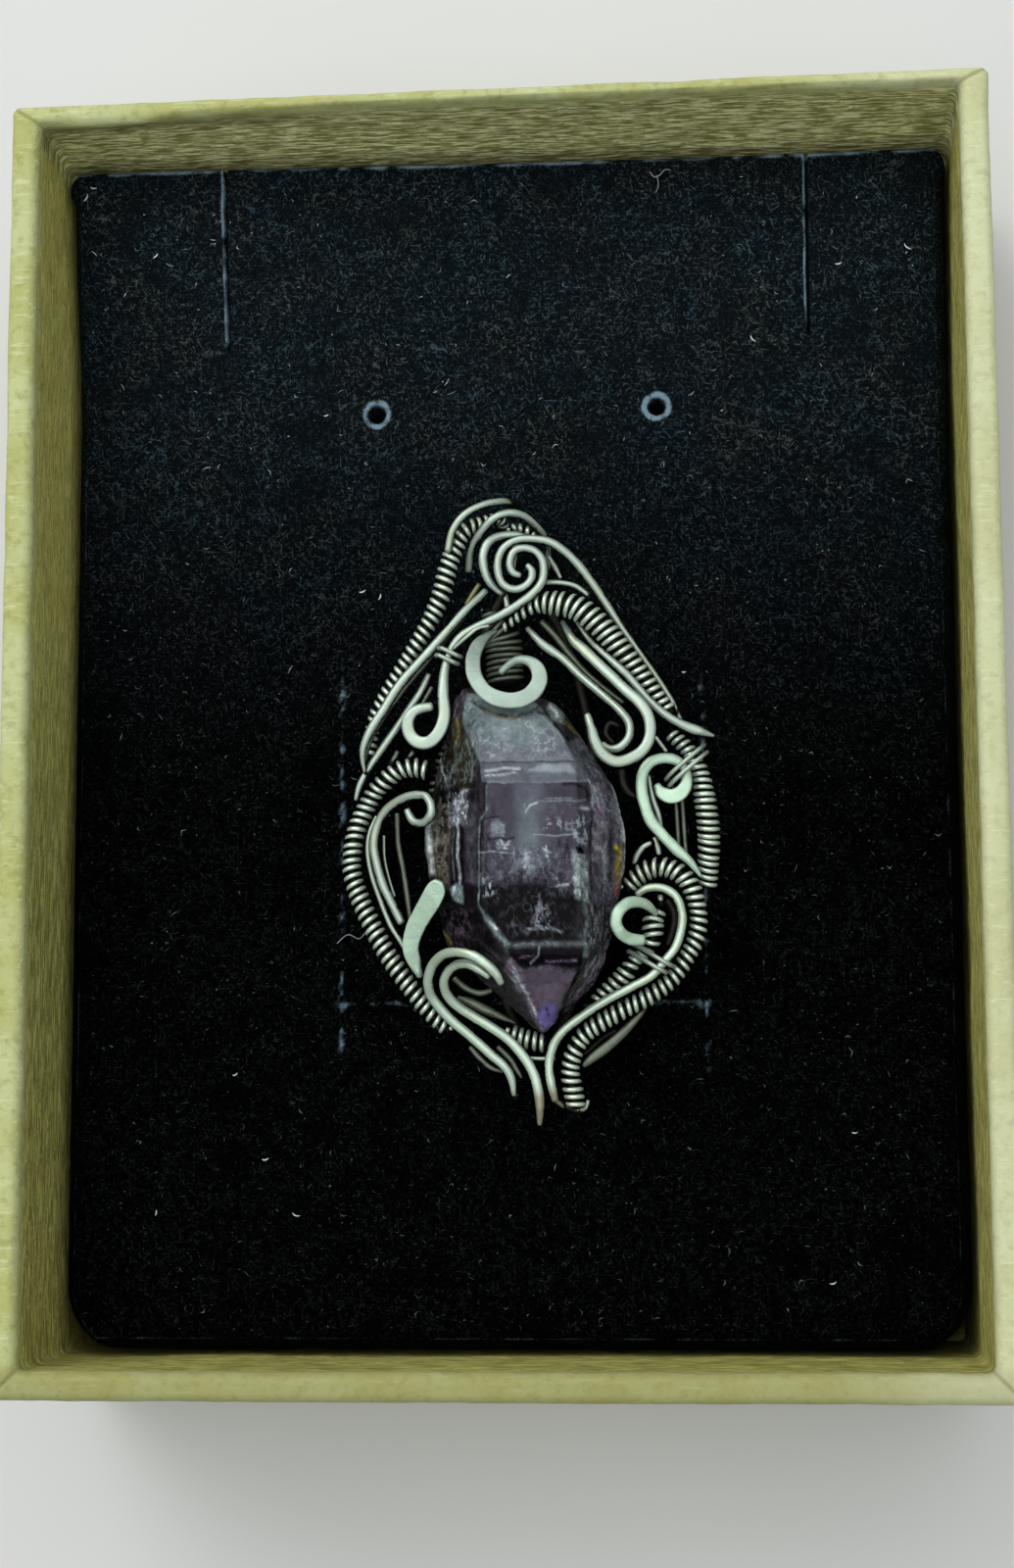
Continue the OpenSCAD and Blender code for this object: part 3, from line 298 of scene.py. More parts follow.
        (2.6, 10.7, 0.6), (4.5, 7, 0.5), (6, 1, 0.5), (6.5, -6, 0.5), (6, -13, 0.5), (4.6, -18.5, 0.8),
        (3.3, -21.2, 2.1),
    ],
}
EVEN_WIDTH = {"bail_wire_outer": 0.55, "bail_wire_inner": 0.6, "back_wire_left": WIRE, "back_wire_right": WIRE}

# Distance between the points of a coil's core
CORE_STEP = 0.1
# Coils: distance between turns, height of the section for its width, and side that the turns lean to
COILS = {
    "bail_coil": (0.5, 1, 1), "left_coil": (0.56, 1, -1), "centre_coil": (0.42, 0.65, 1),
    "left_side_coil": (0.56, 1, 1), "bottom_coil": (0.5, 1, 1), "right_shoulder_coil": (0.56, 1, -1),
    "right_side_coil": (0.48, 1, -1), "right_lower_coil": (0.54, 1, -1), "right_inner_coil": (0.54, 1, 1),
}
# Bindings: middle and radius of the left and right ends of a loop, and its step for each turn
BINDINGS = {
    "left_binding": ((-3.65, 5.8, 5.95), 0.56, (-3.15, 5.5, 5.95), 0.56, (-0.2, -0.5, 0)),
    "right_binding": ((12.3, -2.7, 4.8), 0.95, (13.25, -1.95, 4.65), 1.37, (0.2, -0.5, 0)),
    "heart_binding": ((9.85, -15.25, 4.7), 0.84, (11.1, -16.1, 5.6), 0.6, (-0.42, -0.45, 0)),
}
# Wires with hammer marks, and those whose slot in the record is hammered_silver or dark_silver
DENTED = ("centre_hook", "paddle", "right_c_hook", "ring_scroll")
HAMMERED = ("centre_hook", "paddle")
# Wires in dark_silver get a darker copy of the silver: painted shade for wires that lie under or behind others
DARK = (
    "centre_coil", "left_strand_under", "left_back_wire", "bottom_point", "shoulder_back_wire", "twin_wire_left",
    "twin_wire_right", "tail_chord", "back_wire_left", "back_wire_right",
)
# Wires whose look isn't that of their slot
OWN_LOOK = {
    name: look
    for look, names in {
        "sunk_silver": ("back_wire_left", "back_wire_right", "tail_chord_thin"),
        "pale_silver": ("bottom_scroll_outer", "bottom_scroll_inner", "heart_wire"),
        "paddle_silver": ("paddle", "right_c_hook", "ring_scroll"),
    }.items()
    for name in names
}
# Slots of the looks that aren't slots themselves
SLOT_OF_LOOK = {"warm_wire": "silver_wire", "sunk_silver": "dark_silver"}
# Plain wires that each operator builds
BAIL = ("bail_wire_outer", "bail_wire_inner", "inner_arc", "spiral_right", "spiral_left")
SCROLLS = (
    "centre_hook", "left_curl", "paddle", "bottom_scroll_outer", "bottom_scroll_inner", "right_long",
    "right_scroll_outer", "right_scroll_inner", "ring_scroll", "heart_wire", "right_c_hook",
)
STRANDS = (
    "left_strand", "left_strand_under", "left_cross_wire", "left_companion", "left_back_wire", "bottom_point",
    "tail_tie", "shoulder_wire", "shoulder_back_wire", "twin_wire_left", "twin_wire_right", "coil_stem",
    "coil_stem_short", "tail_chord", "tail_chord_thin", "back_wire_left", "back_wire_right",
)

# Small strands that show between the wires: look, then x, y, height, width for each bend
SLIVERS = {
    "sliver_top": ("silver_wire", [(3.5, 12.8, 4.2, 0.3), (3.9, 12.1, 4.2, 0.4), (4.3, 11.3, 4.2, 0.3)]),
    "sliver_left_thin": ("silver_wire", [
        (-8.15, -6.9, 4.9, 0.2), (-8.1, -8.5, 4.9, 0.2), (-7.7, -10.2, 4.9, 0.2), (-7.4, -11.1, 4.9, 0.2)]),
    "sliver_binding_tail": ("silver_wire", [
        (-3.1, 6, 6.3, 0.28), (-2.25, 6.65, 6.6, 0.3), (-1.4, 7.3, 6.7, 0.3), (-0.6, 7.5, 6.6, 0.26)]),
    "sliver_brass": ("warm_wire", [(-1.5, 11, 3.9, 0.4), (-1.9, 10.4, 3.9, 0.45), (-2.4, 9.6, 3.9, 0.4)]),
    "sliver_right_low": ("sunk_silver", [
        (11.5, -11.6, 3.6, 0.5), (11.9, -12.3, 3.6, 0.6), (11.95, -13.2, 3.6, 0.6), (11.5, -14.6, 3.6, 0.5)]),
    "sliver_heart_core": ("silver_wire", [(11.05, -11.35, 4.8, 0.45), (11.1, -12, 4.8, 0.4)]),
    "sliver_scroll_ring": ("dark_silver", [
        (-3.2, -16.9, 5, 0.5), (-2.5, -17.5, 5, 0.5), (-1.9, -17.8, 5, 0.5), (-1.3, -17.9, 5, 0.5),
        (-0.65, -17.7, 5, 0.4)]),
    "sliver_gap_right": ("sunk_silver", [
        (8.5, -2.6, 4.9, 0.55), (8.6, -3.5, 4.9, 0.6), (8.95, -4.1, 4.9, 0.55), (9.4, -4.4, 4.9, 0.4)]),
    "sliver_coil_end": ("coiled_silver", [
        (4.35, -25.3, 3.9, 0.3), (4.5, -25.75, 4.2, 0.34), (5.1, -25.98, 4.3, 0.34), (5.65, -25.85, 4.1, 0.34),
        (5.85, -25.35, 3.8, 0.3)]),
    "sliver_right_cross": ("silver_wire", [(10.9, -0.3, 5, 0.3), (11.6, -1.3, 5, 0.3)]),
    "sliver_behind_scroll": ("sunk_silver", [
        (7.9, -0.6, 4.6, 0.35), (7.4, 0.1, 4.6, 0.4), (7.7, 0.8, 4.6, 0.4), (8.3, 0.6, 4.6, 0.35)]),
    "sliver_ring_inner": ("silver_wire", [
        (10.35, -3, 4.9, 0.35), (10.5, -3.9, 4.9, 0.42), (10.7, -4.8, 4.9, 0.45), (11, -5.7, 4.9, 0.45),
        (11.1, -6.5, 4.7, 0.45), (11.1, -7.4, 4.7, 0.4)]),
    "sliver_tail_end": ("dark_silver", [(3.4, -25.1, 3.6, 0.4), (4.2, -25.7, 3.6, 0.4)]),
    "sliver_between_tails": ("dark_silver", [
        (-0.3, -21.6, 4, 0.4), (0.5, -22.4, 4, 0.45), (1, -23.2, 4, 0.4), (1.3, -23.7, 4, 0.2)]),
    "sliver_outer_tail": ("dark_silver", [
        (-2.2, -21.6, 4.2, 0.4), (-1.5, -22.4, 4.2, 0.45), (-0.8, -23, 4.2, 0.4), (0, -23.3, 4.2, 0.2)]),
    "sliver_left_one": ("dark_silver", [(-7.3, -0.9, 4.2, 0.4), (-7.8, -1.9, 4.2, 0.4)]),
    "sliver_left_two": ("dark_silver", [(-6.15, -1, 4.6, 0.35), (-6.5, -1.5, 4.6, 0.35)]),
    "sliver_left_three": ("dark_silver", [(-4.85, 3.6, 4.4, 0.4), (-5.6, 2.3, 4.4, 0.4)]),
    "sliver_bail_right": ("dark_silver", [
        (2, 16, 2.6, 0.35), (2.6, 15.6, 2.4, 0.4), (3.1, 14.8, 2, 0.4), (3.4, 14.1, 1.6, 0.35)]),
    "sliver_under_spiral": ("silver_wire", [(0.45, 10, 4.7, 0.4), (0.55, 9.4, 4.8, 0.45), (0.6, 8.8, 4.8, 0.4)]),
}
# Turns beside the crystal's left flank, dark with painted shade, and the number that stands for their route
BACK_COIL = [(-3.4, -0.6, 4.4, 1.1), (-4, -1.7, 4.2, 1.3), (-4.4, -2.9, 4, 1.3), (-4.6, -4.1, 3.8, 1.1)]
BACK_COIL_NUMBER = 99

# Lint on the pad: x, y, length, turn in degrees, brightness
LINT = np.array([
    (-10.5, 11.3, 0.5, 20, 1), (-9.2, 10.9, 0.45, 70, 1), (12.7, 4.9, 0.3, 0, 0.9), (-25.6, 36.4, 0.5, 40, 1),
    (24.3, 34.4, 0.5, 10, 1), (29.2, 35.4, 0.7, -40, 0.9), (-13.2, 24.5, 0.4, 15, 0.7), (18, 29.2, 0.6, -50, 0.9),
    (-17.4, -29.5, 0.5, 10, 0.9), (-19.6, -23.5, 0.4, 25, 0.8), (-15.2, -33.4, 0.6, -20, 0.8),
    (24.1, -27.8, 0.4, 0, 0.7), (22.4, -38.1, 0.5, 15, 0.8), (-25.2, -33.2, 0.4, 80, 0.7),
    (-30.7, 40.8, 0.6, 60, 0.8), (-30.2, 41.5, 0.5, -10, 0.7),
])
# Hairs on the pad: x, y, height over its face, width for each bend
HAIRS = [
    [(-12.3, -14.2, 0.15, 0.07), (-11.5, -13.6, 0.3, 0.07), (-10.7, -13.9, 0.3, 0.06),
     (-10.2, -13.4, 0.25, 0.06), (-10, -13, 0.15, 0.05)],
    [(10.8, 41.6, 0.15, 0.09), (11.1, 41.2, 0.25, 0.09), (11.5, 41.3, 0.3, 0.08), (11.9, 41.7, 0.3, 0.07),
     (12.3, 41.7, 0.15, 0.06)],
    [(11.3, 41.3, 0.25, 0.07), (11.4, 40.6, 0.2, 0.06), (11.2, 40.1, 0.12, 0.05)],
]


def rgb(red, green, blue):
    """A colour given as it shows on screen, from 0 to 255, as the linear values that a shader takes."""
    shown = np.array([red, green, blue]) / 255
    linear = np.where(shown <= 0.04045, shown / 12.92, ((shown + 0.055) / 1.055) ** 2.4)
    return (*(float(c) for c in linear), 1.0)


def unit(v):
    """Vectors brought to length 1."""
    return v / np.linalg.norm(v, axis=-1, keepdims=True)


def ease(v, low, high):
    """Smooth step: 0 up to low and 1 from high on, 3t² − 2t³ between."""
    t = np.clip((v - low) / (high - low), 0, 1)
    return t * t * (3 - 2 * t)


def bell(v, width):
    """1 at 0, falling away to both sides: exp(−(v / width)²)."""
    return np.exp(-((v / width) ** 2))


def noise(points, cell, seed):
    """Value noise from −1 to 1: random numbers on a cubic lattice of that cell, blended by 3t² − 2t³."""
    side = 32
    lattice = np.random.default_rng(seed).uniform(-1, 1, (side, side, side))
    q = np.asarray(points) / cell
    low = np.floor(q).astype(int)
    f = q - low
    f = f * f * (3 - 2 * f)
    total = 0
    for dx in (0, 1):
        for dy in (0, 1):
            for dz in (0, 1):
                weight = (f[..., 0] if dx else 1 - f[..., 0]) * (f[..., 1] if dy else 1 - f[..., 1])
                weight = weight * (f[..., 2] if dz else 1 - f[..., 2])
                total = total + weight * lattice[
                    (low[..., 0] + dx) % side, (low[..., 1] + dy) % side, (low[..., 2] + dz) % side]
    return total


def curve(rows):
    """Uniform Catmull-Rom curve through the rows: each span is the cubic of its two rows and their neighbours."""
    rows = np.asarray(rows, float)
    ends = np.concatenate([rows[:1], rows, rows[-1:]])
    a, b, c, d = (part[:, None] for part in (ends[:-3], ends[1:-2], ends[2:-1], ends[3:]))
    t = (np.arange(SPAN_STEPS) / SPAN_STEPS)[None, :, None]
    cubic = 2 * b + (c - a) * t + (2 * a - 5 * b + 4 * c - d) * t**2 + (3 * b - a - 3 * c + d) * t**3
    return np.concatenate([(cubic / 2).reshape(-1, rows.shape[1]), rows[-1:]])


def lengths(line):
    """Length along a line of points up to each."""
    return np.concatenate([[0], np.cumsum(np.linalg.norm(np.diff(line, axis=0), axis=1))])


def between(where, at, rows):
    """Rows at new places, from rows given at other places, by straight lines from row to row."""
    return np.stack([np.interp(where, at, column) for column in rows.T], axis=1)


def even(path, step):
    """Rows at even steps of length along the path, and the length up to each."""
    s = lengths(path[:, :3])
    at = np.linspace(0, s[-1], int(np.ceil(s[-1] / step)) + 1)
    return between(at, s, path), at


def square_to(t, way):
    """What is left of each way at right angles to the unit vector t."""
    return way - t * np.sum(way * t, axis=1, keepdims=True)


def frames(points):
    """Tangent, side and upright of each point. The sides start level and are carried along without twist: what
    the level side turns about the tangent from point to point is added up and taken off again."""
    t = unit(np.gradient(points, axis=0))
    level = unit(np.cross([0.0, 0.0, 1.0], t))
    up = np.cross(t, level)
    carried = square_to(t[1:], level[:-1])
    turn = np.arctan2(np.sum(carried * up[1:], axis=1), np.sum(carried * level[1:], axis=1))
    angle = np.concatenate([[0], np.cumsum(turn)])[:, None]
    side = level * np.cos(angle) + up * np.sin(angle)
    return t, side, np.cross(t, side)


def laid(rows, step):
    """The curve through a table's rows x, y, height, width in place on the pad, with the length up to each."""
    rows = np.array(rows, float)
    rows[:, :3] += PENDANT_AT
    return even(curve(rows), step)


def route(name, step):
    """A named route, laid on the pad."""
    rows = np.array(ROUTES[name], float)
    if name in EVEN_WIDTH:
        rows = np.column_stack([rows, np.full(len(rows), EVEN_WIDTH[name])])
    return laid(rows, step)


def thickness(width):
    """Hammering spreads a wire: its section keeps its area, so the height is the wire's square over the width."""
    return np.where(width > WIRE, WIRE**2 / np.maximum(width, WIRE), width)


class Skin:
    """Grids of points gathered into one mesh, with a UV at each corner and named values at each point."""

    def __init__(self):
        self.points = []
        self.loops = []
        self.sizes = []
        self.uv = []
        self.values = {}
        self.count = 0

    def grid(self, points, u, v, closed=True, capped=True, flip=False, **values):
        """Quads between the rows and columns of a grid. A closed grid joins its last column to the first, and a
        capped one has a polygon on its first and last row."""
        rows, columns = points.shape[:2]
        start = self.count
        i = np.arange(rows - 1)[:, None]
        j = np.arange(columns if closed else columns - 1)[None, :]
        k = (j + 1) % columns
        quads = np.stack(np.broadcast_arrays(i * columns + j, i * columns + k, (i + 1) * columns + k,
                                             (i + 1) * columns + j), axis=-1)
        corner_u = np.stack(np.broadcast_arrays(u[j], u[j + 1], u[j + 1], u[j]), axis=-1)
        corner_v = np.stack(np.broadcast_arrays(v[i], v[i], v[i + 1], v[i + 1]), axis=-1)
        uv = np.stack(np.broadcast_arrays(corner_u, corner_v), axis=-1)
        if flip:
            quads, uv = quads[:, :, ::-1], uv[:, :, ::-1]
        self.faces(quads.reshape(-1, 4) + start, uv.reshape(-1, 2))
        if capped:
            ring = np.arange(columns)
            first, last = (ring, ring[::-1]) if flip else (ring[::-1], ring)
            for corners, height in ((first, v[0]), (last + (rows - 1) * columns, v[-1])):
                around = u[corners % columns]
                self.faces(corners[None] + start, np.column_stack([around, np.full(columns, height)]))
        self.dots(points.reshape(-1, 3), **values)
        return self

    def dots(self, points, **values):
        """More points, each with its values."""
        self.points.append(points)
        self.count += len(points)
        for name, value in values.items():
            self.values.setdefault(name, []).append(np.asarray(value, float).reshape(len(points), -1))

    def faces(self, corners, uv):
        """More faces: a row of point numbers for each, and a UV for each corner."""
        self.loops.append(corners.ravel())
        self.sizes.append(np.full(len(corners), corners.shape[1]))
        self.uv.append(uv)

    def put(self, name, material, slot, replaces=(), body="root"):
        """The mesh as an object at the origin that rides on the body and stands for the CAD nodes named."""
        mesh = bpy.data.meshes.new(name)
        points = np.concatenate(self.points) * MM
        loops = np.concatenate(self.loops)
        sizes = np.concatenate(self.sizes)
        mesh.vertices.add(len(points))
        mesh.vertices.foreach_set("co", points.astype(np.float32).ravel())
        mesh.loops.add(len(loops))
        mesh.loops.foreach_set("vertex_index", loops.astype(np.int32))
        mesh.polygons.add(len(sizes))
        mesh.polygons.foreach_set("loop_start", np.concatenate([[0], np.cumsum(sizes)[:-1]]).astype(np.int32))
        mesh.update(calc_edges=True)
        mesh.uv_layers.new(name="UVMap")
        mesh.uv_layers[0].data.foreach_set("uv", np.concatenate(self.uv).astype(np.float32).ravel())
        for key, parts in self.values.items():
            value = np.concatenate(parts)
            if value.shape[1] == 3:
                value = np.column_stack([value, np.ones(len(value))])
                attribute = mesh.attributes.new(key, "FLOAT_COLOR", "POINT")
                attribute.data.foreach_set("color", value.astype(np.float32).ravel())
            else:
                attribute = mesh.attributes.new(key, "FLOAT", "POINT")
                attribute.data.foreach_set("value", value.astype(np.float32).ravel())
        mesh.shade_smooth()
        mesh.materials.append(material)
        piece = bpy.data.objects.new(name, mesh)
        bpy.context.scene.collection.objects.link(piece)
        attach(piece, body)
        if replaces:
            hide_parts(*replaces)
        return piece


def tube(points, wide, thick, sides, square=2.0, sections=None):
    """A closed tube: round each point of the path stands the superellipse |x/a|ⁿ + |y/b|ⁿ = 1 of that width
    and height, and both ends draw in over three short rings. Gives back its grid of points, the share round
    it, the length along it, and for each ring the number of its point on the path."""
    end_length, end_fill = 0.5, 0.93
    t, side, up = frames(points) if sections is None else sections
    turn = np.array([0.5, 0.8, 1.0]) * np.pi / 2 * end_fill
    reach, narrow = np.sin(turn) * end_length, np.cos(turn)
    head = points[0] - t[0] * (reach[::-1] * thick[0] / 2)[:, None]
    foot = points[-1] + t[-1] * (reach * thick[-1] / 2)[:, None]
    centre = np.concatenate([head, points, foot])
    ends = len(turn)
    pick = np.concatenate([np.zeros(ends, int), np.arange(len(points)), np.full(ends, len(points) - 1)])
    scale = np.concatenate([narrow[::-1], np.ones(len(points)), narrow])
    a = (wide[pick] * scale / 2)[:, None]
    b = (thick[pick] * scale / 2)[:, None]
    power = 2 / (np.broadcast_to(square, len(points))[pick][:, None])
    angle = 2 * np.pi * (np.arange(sides) + 0.5) / sides
    c, s = np.cos(angle)[None], np.sin(angle)[None]
    x = a * np.sign(c) * np.abs(c) ** power
    y = b * np.sign(s) * np.abs(s) ** power
    grid = centre[:, None] + x[..., None] * side[pick][:, None] + y[..., None] * up[pick][:, None]
    return grid, np.arange(sides + 1) / sides, lengths(centre), pick


def neighbours():
    """Points along every route with their radius and the number of their route, for closeness."""
    rows = []
    for number, name in enumerate(ROUTES):
        path, _ = route(name, 0.4)
        radius = path[:, 3] / 2 if name in COILS else np.minimum(path[:, 3], thickness(path[:, 3])) / 2
        rows.append(np.column_stack([path[:, :3], radius, np.full(len(path), number)]))
    return np.concatenate(rows)


NEIGHBOURS = neighbours()


def closeness(points, own):
    """Distance in millimetres from each point to the nearest wire whose route has another number."""
    others = NEIGHBOURS[NEIGHBOURS[:, 4] != own]
    nearest = np.empty(len(points))
    batch = 2000
    for start in range(0, len(points), batch):
        part = points[start:start + batch]
        away = np.linalg.norm(part[:, None] - others[None, :, :3], axis=2) - others[None, :, 3]
        nearest[start:start + batch] = away.min(axis=1)
    return nearest


def painted_light_and_wear(grid, centre, own, flat):
    """How bright a wire is, from 0 to 1: the side that faces up is bright, from wear and painted light, and what
    lies close beside another wire is not, from patina and painted shade. Flat is thickness over width, which
    squared turns the way out of the middle into a normal."""
    outward = grid - centre[:, None]
    outward = unit(outward * np.stack([flat**2, flat**2, np.ones_like(flat)], axis=-1))
    # Wear and painted light on the side facing up; patina and painted shade close beside other wires
    up = ease(outward[..., 2], -0.05, 0.95)
    gap = closeness(grid.reshape(-1, 3), own).reshape(up.shape)
    return up * (0.25 + 0.75 * ease(gap, -0.05, 0.3))


def wire_skin(path, own, sides, dent=0.0):
    """A plain wire: a tube on the path whose section goes from round to a flat rounded bar where it is hammered,
    moved in and out by noise of the dents' height. Own is the number of its route. Where the path is nowhere
    steep the section stays level, so that a flat bar doesn't twist."""
    steep = 0.8
    wide = path[:, 3]
    thick = thickness(wide)
    square = 2 + 5 * ease(wide / thick, 1.1, 2.8)
    t = unit(np.gradient(path[:, :3], axis=0))
    sections = None
    if np.abs(t[:, 2]).max() < steep:
        side = unit(np.cross([0.0, 0.0, 1.0], t))
        sections = t, side, np.cross(t, side)
    grid, u, v, pick = tube(path[:, :3], wide, thick, sides, square, sections)
    centre = grid.mean(axis=1)
    outward = unit(grid - centre[:, None])
    grid = grid + outward * ((0.006 + dent) * noise(grid, 0.6, 11) + 0.004 * noise(grid, 0.2, 12))[..., None]
    # Its point values carry wear, patina and painted light and shade
    return Skin().grid(grid, u, v, rub=painted_light_and_wear(grid, centre, own, (thick / wide)[pick][:, None]))


def coil_skin(path, at, pitch, flat, lean, own, look):
    """A fine wire wound on a core. Its middle line is the core's point plus the ellipse
    side·a·cos φ + up·b·sin φ, where φ grows by one turn for each pitch along the core, with a small drift
    of each turn's place and size. Own is the number of its route, which also seeds the drift."""
    points, wide = path[:, :3], path[:, 3]
    _, side, up = frames(points)
    core_sides, knots_a_turn, least = 10, 1.3, 0.05
    core = np.maximum(wide - 1.9 * FINE, 2 * least)
    grid, u, v, _ = tube(points, core, core * flat, core_sides)
    skin = Skin().grid(grid, u, v, rub=np.zeros(grid.shape[:2]))
    turns = at[-1] / pitch
    s = np.linspace(0, at[-1], int(turns * look.coil_steps) + 1)
    rng = np.random.default_rng(own + 50)
    knots = np.linspace(0, at[-1], int(turns * knots_a_turn) + 3)
    place = np.clip(s + np.interp(s, knots, rng.normal(0, 0.03, len(knots))), 0, at[-1])
    swell = np.interp(s, knots, rng.normal(0, 0.016, len(knots)))
    centre = between(place, at, points)
    across, above = unit(between(place, at, side)), unit(between(place, at, up))
    width = np.interp(place, at, wide)
    turn = lean * 2 * np.pi * s / pitch + own
    a, b = (width - FINE) / 2 + swell, (width * flat - FINE) / 2 + swell
    a, b = np.maximum(a, least)[:, None], np.maximum(b, least)[:, None]
    c, k = np.cos(turn)[:, None], np.sin(turn)[:, None]
    line = centre + across * a * c + above * b * k
    away = unit(across * b * c + above * a * k)
    t = unit(np.gradient(line, axis=0))
    radial = unit(square_to(t, away))
    fine = np.full(len(line), FINE)
    grid, u, v, pick = tube(line, fine, fine, look.coil_sides, sections=(t, radial, np.cross(t, radial)))
    outward = unit(grid - grid.mean(axis=1)[:, None])
    away = radial[pick][:, None]
    outer = np.sum(outward * away, axis=2)
    # Wear and painted light on the outer side of each turn where it faces up; patina and painted shade beside
    # other wires
    rub = ease(outer - 0.75 * (1 - away[..., 2]) ** 1.3, -0.3, 0.5)
    gap = closeness(grid.reshape(-1, 3), own).reshape(rub.shape)
    rub = rub * (0.3 + 0.7 * ease(gap, -0.1, 0.25))
    return skin.grid(grid, u, v, rub=rub)


def binding_skin(left, left_radius, right, right_radius, lead, sides=12):
    """A fine wire round two parallel wires: half circles at the two ends joined by straight runs, stepping on by
    the lead for each turn. It is bright on its upper side, from wear and painted light, and less so low under the
    wires, from patina and painted shade."""
    turns = 1.8
    left, right, lead = np.asarray(left), np.asarray(right), np.asarray(lead)
    across, onward = unit(right - left), unit(lead)
    up = unit(np.cross(across, onward))
    half = np.linalg.norm(right - left) / 2
    angle = np.radians(np.arange(-90, 360 * turns - 90 + 1, 7.5))[:, None]
    share = np.clip(2 * np.cos(angle), -1, 1)
    radius = (left_radius + right_radius) / 2 + share * (right_radius - left_radius) / 2
    line = (left + right) / 2 + PENDANT_AT + across * (share * half + radius * np.cos(angle))
    line = line - up * radius * np.sin(angle) + lead * (angle / (2 * np.pi) - 0.5)
    t = unit(np.gradient(line, axis=0))
    side = unit(square_to(t, onward))
    fine = np.full(len(line), FINE)
    grid, u, v, _ = tube(line, fine, fine, sides, sections=(t, side, np.cross(t, side)))
    middle = grid.mean(axis=1)
    level = ((middle[:, 2] - middle[:, 2].min()) / np.ptp(middle[:, 2]))[:, None]
    # Wear and painted light on the upper side; patina and painted shade low under the wires
    upper = ease(unit(grid - middle[:, None])[..., 2], -0.4, 0.5)
    return Skin().grid(grid, u, v, rub=upper * ease(level * 1.6, 0, 1))


def rounded_ring(across, along, corner=7):
    """Round a rectangle with rounded corners, in so many steps along its sides and round each corner: for each
    station the point of the inner rectangle's outline, as shares of its half sizes, and the unit vector that
    points out. A point is share · half + radius · out."""
    shares, outs = [], []
    for k, (steps, start, end) in enumerate([
            (along, (1, -1), (1, 1)), (across, (1, 1), (-1, 1)), (along, (-1, 1), (-1, -1)),
            (across, (-1, -1), (1, -1))]):
        t = (np.arange(steps) / steps)[:, None]
        shares.append(np.array(start) * (1 - t) + np.array(end) * t)
        outs.append(np.tile([np.cos(k * np.pi / 2), np.sin(k * np.pi / 2)], (steps, 1)))
        turn = (k + np.arange(corner) / corner) * np.pi / 2
        shares.append(np.tile(end, (corner, 1)))
        outs.append(np.column_stack([np.cos(turn), np.sin(turn)]))
    return np.concatenate(shares), np.concatenate(outs)


def tray_skin(look):
    """The tray: a profile of distance in from the outer face and height, up the inner wall, over the rounded rim
    and down the outer wall, carried round a rectangle with rounded corners. Noise bends the lining and the rim,
    the far wall's lining bows out towards its top, and a valley runs along each mitred fold."""
    corner, rim = 0.5, look.rim_radius
    lining_rows, turn_rows, outer_rows = 52, 8, 27
    inner = np.column_stack([np.full(lining_rows, WALL), np.linspace(FLOOR, TRAY_HEIGHT - rim, lining_rows)])
    turn = np.linspace(0, np.pi / 2, turn_rows)[1:]
    over = np.column_stack([WALL - rim + rim * np.cos(turn), TRAY_HEIGHT - rim + rim * np.sin(turn)])
    back = np.column_stack([rim - rim * np.sin(turn), TRAY_HEIGHT - rim + rim * np.cos(turn)])
    outer = np.column_stack([np.zeros(outer_rows), np.linspace(TRAY_HEIGHT - rim - 0.8, 0.4, outer_rows)])
    profile = np.concatenate([inner, over, back, outer, [(0.12, 0.12), (0.4, 0)]])
    shares, outs = rounded_ring(across=150, along=196)
    inset = profile[:, 0][:, None, None]
    flat = shares[None] * (TRAY_HALF - corner - inset) + outs[None] * corner
    height = np.broadcast_to(profile[:, 1][:, None, None], (*flat.shape[:2], 1))
    points = np.concatenate([flat, height], axis=2)
    inside = ease(profile[:, 0], WALL - 0.9, WALL)[:, None]
    top = ease(profile[:, 1], TRAY_HEIGHT - 2.2, TRAY_HEIGHT - 0.3)[:, None]
    free = ease(profile[:, 1], FLOOR, FLOOR + 4)[:, None]
    sway = look.waviness * (noise(points, 7, 1) + 0.5 * noise(points, 2.6, 2)) + 0.03 * noise(points, 0.9, 3)
    far_wall = points[..., 1] > TRAY_HALF[1] - 3.2
    wrinkles = 0.07 * noise(points * [0.35, 1, 1.6], 0.8, 4) * far_wall
    push = -(np.abs(sway) * (1 - inside) + (sway + wrinkles) * inside * 0.9) * free
    crease = bell(points[..., 0] + 26, 5) * far_wall * 0.35 * top * inside
    points[..., :2] += outs[None] * (push - crease)[..., None]
    x, y, z = np.moveaxis(points, -1, 0)
    bow = (0.7 + 0.3 * ease(x, -34, -14)) * ease(y, 36, 43) * ease(z, 10, 24)
    points[..., 1] += bow * inset[..., 0] / WALL
    mitre = np.abs((TRAY_HALF[0] - np.abs(flat[..., 0])) - (TRAY_HALF[1] - np.abs(flat[..., 1])))
    fold = bell(mitre, 0.16) * top
    slump = 0.06 * (1 + noise(points, 5, 5)) + 0.03 * (1 + noise(points, 1.4, 6))
    points[..., 2] -= slump * top + 0.16 * fold + 0.25 * crease
    last_step = 0.4
    along = lengths(points[0])
    along = np.append(along, along[-1] + last_step)
    whole = np.ones_like(mitre)
    return Skin().grid(points, along / UV_SIDE, lengths(profile) / UV_SIDE, flip=True, rim=top * whole, fold=fold,
                       lining=inside * (1 - top) * whole)


def gap_to(x, y, cut):
    """Distance from each point to a straight line, given as a cut is."""
    start, end = cut[:2], cut[2:]
    along = end - start
    t = np.clip(((x - start[0]) * along[0] + (y - start[1]) * along[1]) / (along @ along), 0, 1)
    return np.hypot(x - start[0] - t * along[0], y - start[1] - t * along[1])


